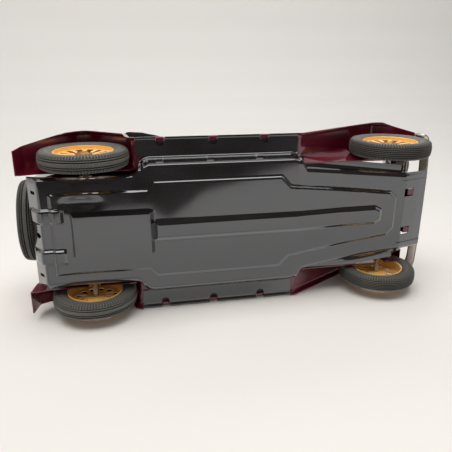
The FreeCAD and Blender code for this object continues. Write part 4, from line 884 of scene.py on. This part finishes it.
def creases(value, places, width, depth):
    """Narrow grooves at the given places."""
    return -depth * sum(np.exp(-((value - place) / width) ** 2) for place in places)


SEAT_HALF, CHANNEL = 28.4, 7.25
CHANNELS = np.arange(-3 * CHANNEL, 3.1 * CHANNEL, CHANNEL)


def build_cushion():
    section = [(5.6, 24.9), (29.2, 24.9), (29.2, 37.6), (8.6, 38.8), (5.6, 37.0)]
    pad = block("seat_cushion_pad", section, -SEAT_HALF, SEAT_HALF, "x")
    inflate(pad, 0.9, 1.0)

    def depth(x, y, z, normal):
        facing = np.clip(np.maximum(normal[:, 2], -normal[:, 1]) * 1.6, 0, 1)
        tube = -0.35 * np.cos((x / CHANNEL) * 2 * math.pi)
        seam = creases(z, (34.0,), 0.5, 0.5) * (np.abs(normal[:, 2]) < 0.5)
        return facing * (tube + creases(x, CHANNELS, 0.45, 0.8)) + seam + 0.08 * np.sin(y * 1.7 + x * 0.9)
    return sculpt(pad, depth)


def build_back():
    section = [(30.6, 25.2), (34.2, 25.2), (34.8, 59.2), (34.0, 60.0), (32.6, 59.6)]
    pad = block("seat_back_pad", section, -SEAT_HALF, SEAT_HALF, "x")
    inflate(pad, 0.9, 0.8)

    def depth(x, y, z, normal):
        facing = np.clip(-normal[:, 1] * 1.6, 0, 1)
        tube = -0.35 * np.cos((x / CHANNEL) * 2 * math.pi)
        fade = soft_step(z, 26, 28) * soft_step(-z, -57.6, -56.4)
        piping = creases(z, (57.2,), 0.45, 0.6) * facing
        return facing * fade * (tube + creases(x, CHANNELS, 0.45, 0.8)) + piping
    return sculpt(pad, depth)


def build_folded_top():
    """Lowered cloth top: three folded layers lying on the deck, with creases and drawn-in ends."""
    left_end = -1 + 0.07 * (1 - np.cos(np.linspace(0, math.pi / 2, 7)[:-1]))
    right_end = 1 - 0.07 * (1 - np.cos(np.linspace(math.pi / 2, 0, 7)[1:]))
    stations = np.concatenate([left_end, np.linspace(-0.93, 0.93, 84), right_end])
    count = 72
    angle = np.arange(count) * 2 * math.pi / count
    c, q = np.cos(angle), np.sin(angle)
    points = []
    for share in stations:
        squeeze = math.sqrt(max(0.05, 1 - max(0.0, (abs(share) - 0.93) / 0.07) ** 2))
        x = abs(share) * 46
        arch_z = 65.2 - (109.4 - math.sqrt(109.4 ** 2 - min(x, 37.8) ** 2))
        low = np.interp(x, [36.0, 40.0], [arch_z, 58.9])
        high = 73.2 - 0.9 * abs(share) ** 4
        y = 51.5 + 13.7 * (0.86 + 0.14 * squeeze) * np.sign(c) * np.abs(c) ** 0.62
        z = (high + low) / 2 + (high - low) / 2 * squeeze * np.sign(q) * np.abs(q) ** 0.55
        reach = np.interp(y, [37.8, 51.5, 60.5, 65.2], [42.8, 45.8, 46.4, 43.0])
        points += list(np.stack([share * reach, y, z], axis=1))
    faces = grid_faces(len(stations), count, False, True)
    faces += [tuple(range(count)), tuple(range((len(stations) - 1) * count, len(stations) * count))[::-1]]
    pad = make_object("folded_top_cloth", points, faces)
    modify(pad, "TRIANGULATE")
    inflate(pad, 1.1, 0.7)
    phases = random.uniform(0, 2 * math.pi, 8)

    def depth(x, y, z, normal):
        upright = np.clip(1.2 - np.abs(normal[:, 2]) * 1.4, 0, 1)
        wander = 0.35 * np.sin(x * 0.11 + phases[0]) + 0.2 * np.sin(x * 0.29 + phases[1])
        folds = creases(z + wander, (61.8, 65.4, 69.4), 0.42, 0.9) * upright
        bulge = 0.25 * np.cos((z + wander - 60.0) / 3.8 * 2 * math.pi) * -upright
        over = np.clip(normal[:, 2] * 1.5 - 0.3, 0, 1)
        sag = 0.22 * np.sin(x * 0.33 + y * 0.12 + phases[2]) + 0.15 * np.sin(x * 0.7 - y * 0.35 + phases[3])
        pull = over * creases(y + 1.2 * np.sin(x * 0.06 + phases[4]), (45.5, 55.5), 0.5, 0.6)
        return folds + bulge + over * sag + pull + 0.06 * np.sin(x * 2.1 + z * 1.3 + phases[5])
    return sculpt(pad, depth)


add(build_bumper(), "nickel", "chassis", "front_bumper")
add(build_brackets(), "nickel", "chassis", "bumper_brackets")
seat_pad = add(build_cushion(), "seat_leather", "chassis", "seat_cushion")
back_pad = add(build_back(), "seat_leather", "chassis", "seat_back")
top_pad = add(build_folded_top(), "top_cloth", "chassis", "folded_top")

# ---------------------------------------------------------------- stage

CLOTH_X = 50.6


def stage_material(name, colour, variant):
    """White cloth, one-sided, with painted shade: a little darker away from the car, where the light falls off."""
    made = bpy.data.materials.new(name)
    tree, output = blank_tree(made, "Material")
    link, new = tree.links.new, tree.nodes.new
    diffuse = new("ShaderNodeBsdfDiffuse")
    clear = new("ShaderNodeBsdfTransparent")
    geometry = new("ShaderNodeNewGeometry")
    choose = new("ShaderNodeMixShader")
    coords = new("ShaderNodeTexCoord")
    noise = new("ShaderNodeTexNoise")
    mix = colour_mix(tree)
    far = new("ShaderNodeVectorMath")
    fade = new("ShaderNodeMapRange")
    painted_falloff = colour_mix(tree)
    noise.inputs["Scale"].default_value = 6.0
    mix.inputs["A"].default_value = colour
    mix.inputs["B"].default_value = variant
    far.operation = "LENGTH"
    # Painted shade: the cloth darkens between 0.10 and 0.32 m from the car's origin.
    fade.inputs["From Min"].default_value = 0.10
    fade.inputs["From Max"].default_value = 0.32
    painted_falloff.inputs["B"].default_value = tone(228, 226, 223)
    link(coords.outputs["Object"], noise.inputs["Vector"])
    link(noise.outputs["Fac"], mix.inputs["Factor"])
    link(coords.outputs["Object"], far.inputs[0])
    link(far.outputs["Value"], fade.inputs["Value"])
    link(fade.outputs["Result"], painted_falloff.inputs["Factor"])
    link(mix.outputs["Result"], painted_falloff.inputs["A"])
    link(painted_falloff.outputs["Result"], diffuse.inputs["Color"])
    link(geometry.outputs["Backfacing"], choose.inputs["Fac"])
    link(diffuse.outputs["BSDF"], choose.inputs[1])
    link(clear.outputs["BSDF"], choose.inputs[2])
    link(choose.outputs["Shader"], output.inputs["Surface"])
    return made


cloth_finish = stage_material("cloth", tone(240, 237, 232), tone(232, 229, 224))


def build_cloth(name, spots):
    """White cloth swept along the car: (x, z) spots of its section."""
    ys = np.linspace(-1200, 1200, 61)
    points = [(x, y, z) for x, z in spots for y in ys]
    thing = make_object(name, points, grid_faces(len(spots), len(ys)))
    thing.data.materials.append(cloth_finish)
    if thing.data.polygons[0].normal.x > 0:
        thing.data.flip_normals()
    return thing


# Beside and behind the car it curves up into a backdrop; its strip in front stays out of the enamel's mirror.
build_cloth("cloth", rounded([(CLOTH_X, 16), (CLOTH_X, 620), (-900, 700)], 260, 12))
build_cloth("cloth_front", rounded([(CLOTH_X, -130), (CLOTH_X, 16)], 1, 12)).visible_glossy = False


CARD_Z = -420.0
CARD_OUTLINE = [(127, 1400), (127, 185), (119, 145), (117, 30), (133, 14), (137, 2), (98, -54), (85, -108),
                (72, -161), (55, -228), (34, -330), (-60, -1400), (-1400, -1400), (-1400, 1400)]


def card_material():
    """Dark glow where the point attribute "cover" is high, clear elsewhere: a painted dark reflection, as only
    glossy rays see the card.
    """
    made = bpy.data.materials.new("painted_dark_reflection")
    tree, output = blank_tree(made, "Material")
    link, new = tree.links.new, tree.nodes.new
    choose = new("ShaderNodeMixShader")
    clear = new("ShaderNodeBsdfTransparent")
    dark = new("ShaderNodeEmission")
    noise = new("ShaderNodeTexNoise")
    ramp = colour_mix(tree)
    amount = new("ShaderNodeAttribute")
    coords = new("ShaderNodeTexCoord")
    noise.inputs["Scale"].default_value = 7.0
    ramp.inputs["A"].default_value = (0.012, 0.010, 0.010, 1)
    ramp.inputs["B"].default_value = (0.060, 0.050, 0.046, 1)
    amount.attribute_name = "cover"
    link(coords.outputs["Object"], noise.inputs["Vector"])
    link(noise.outputs["Fac"], ramp.inputs["Factor"])
    link(ramp.outputs["Result"], dark.inputs["Color"])
    link(amount.outputs["Fac"], choose.inputs["Fac"])
    link(clear.outputs["BSDF"], choose.inputs[1])
    link(dark.outputs["Emission"], choose.inputs[2])
    link(choose.outputs["Shader"], output.inputs["Surface"])
    return made


def build_card():
    """Dark, soft-edged sheet in front of the car, seen only in reflections: a painted reflection of the dark
    figure that its enamel mirrors.
    """
    xs, ys = np.linspace(-1000, 350, 226), np.linspace(-1000, 1100, 301)
    x, y = np.meshgrid(xs, ys, indexing="ij")
    cover = soft_step(inside_distance(x, y, CARD_OUTLINE, 0.0), -6, 9)
    glow = 0.5 + 0.5 * np.sin(x / 31 + 1.3 * np.sin(y / 53)) * np.sin(y / 37 + x / 90)
    shade = 0.17 * soft_step(x, 120, 220) + 0.3 * soft_step(x, 236, 268) * soft_step(y, -190, -120)
    cover = np.maximum(cover * (1 - 0.1 * glow), shade)
    points = np.stack([x, y, np.full(x.shape, CARD_Z)], axis=2).reshape(-1, 3)
    thing = make_object("painted_dark_reflection", points, grid_faces(len(xs), len(ys)), smooth=False)
    thing.data.attributes.new("cover", "FLOAT", "POINT").data.foreach_set("value", cover.ravel())
    thing.data.materials.append(card_material())
    # Only glossy rays see the card.
    thing.visible_camera = False
    thing.visible_diffuse = False
    thing.visible_shadow = False
    thing.visible_transmission = False
    return thing


build_card()


def area(name, place, aim, size, power, colour=(1, 1, 1)):
    lamp = bpy.data.lights.new(name, "AREA")
    lamp.shape = "RECTANGLE"
    lamp.size, lamp.size_y = size[0] * MM, size[1] * MM
    lamp.energy = power
    lamp.color = colour
    thing = bpy.data.objects.new(name, lamp)
    scene.collection.objects.link(thing)
    place, aim = Vector(place) * MM, Vector(aim) * MM
    thing.location = place
    thing.rotation_euler = (place - aim).to_track_quat("Z", "Y").to_euler()
    return thing


area("main", (-900, 100, -100), (0, 0, 30), (900, 700), 8.2, (1.0, 0.98, 0.96)).visible_glossy = False
window = area("window", (-860, 60, -200), (0, 0, 30), (1000, 280), 1.7, (0.96, 0.98, 1.0))
window.visible_diffuse = False
area("above", (-500, -200, 700), (0, 0, 30), (500, 500), 2.1)

world = bpy.data.worlds.new("room")
scene.world = world
tree, output = blank_tree(world, "World")
background = tree.nodes.new("ShaderNodeBackground")
path = tree.nodes.new("ShaderNodeLightPath")
seen = path.outputs["Is Camera Ray"]
for kind in ("Is Glossy Ray", "Is Transmission Ray"):
    either = tree.nodes.new("ShaderNodeMath")
    either.operation = "MAXIMUM"
    tree.links.new(seen, either.inputs[0])
    tree.links.new(path.outputs[kind], either.inputs[1])
    seen = either.outputs["Value"]
mix = colour_mix(tree)
mix.inputs["A"].default_value = (0.375, 0.37, 0.365, 1)
mix.inputs["B"].default_value = (0.70, 0.69, 0.685, 1)
tree.links.new(seen, mix.inputs["Factor"])
tree.links.new(mix.outputs["Result"], background.inputs["Color"])
tree.links.new(background.outputs["Background"], output.inputs["Surface"])

# ---------------------------------------------------------------- camera

lens = bpy.data.cameras.new("camera")
lens.sensor_width = 36.0
lens.lens = 39.67
lens.clip_start = 0.01
camera = bpy.data.objects.new("camera", lens)
scene.collection.objects.link(camera)
RIGHT = Vector((-0.0042, -0.9786, -0.2057))
UP = Vector((-0.9460, -0.0628, 0.3181))
BACK = Vector((-0.3242, 0.1960, -0.9255))
turn = Matrix((RIGHT, UP, BACK)).transposed().to_4x4()
camera.matrix_world = Matrix.Translation(Vector((-90.66, 64.48, -244.44)) * MM) @ turn
scene.camera = camera
scene.view_settings.view_transform = "Standard"
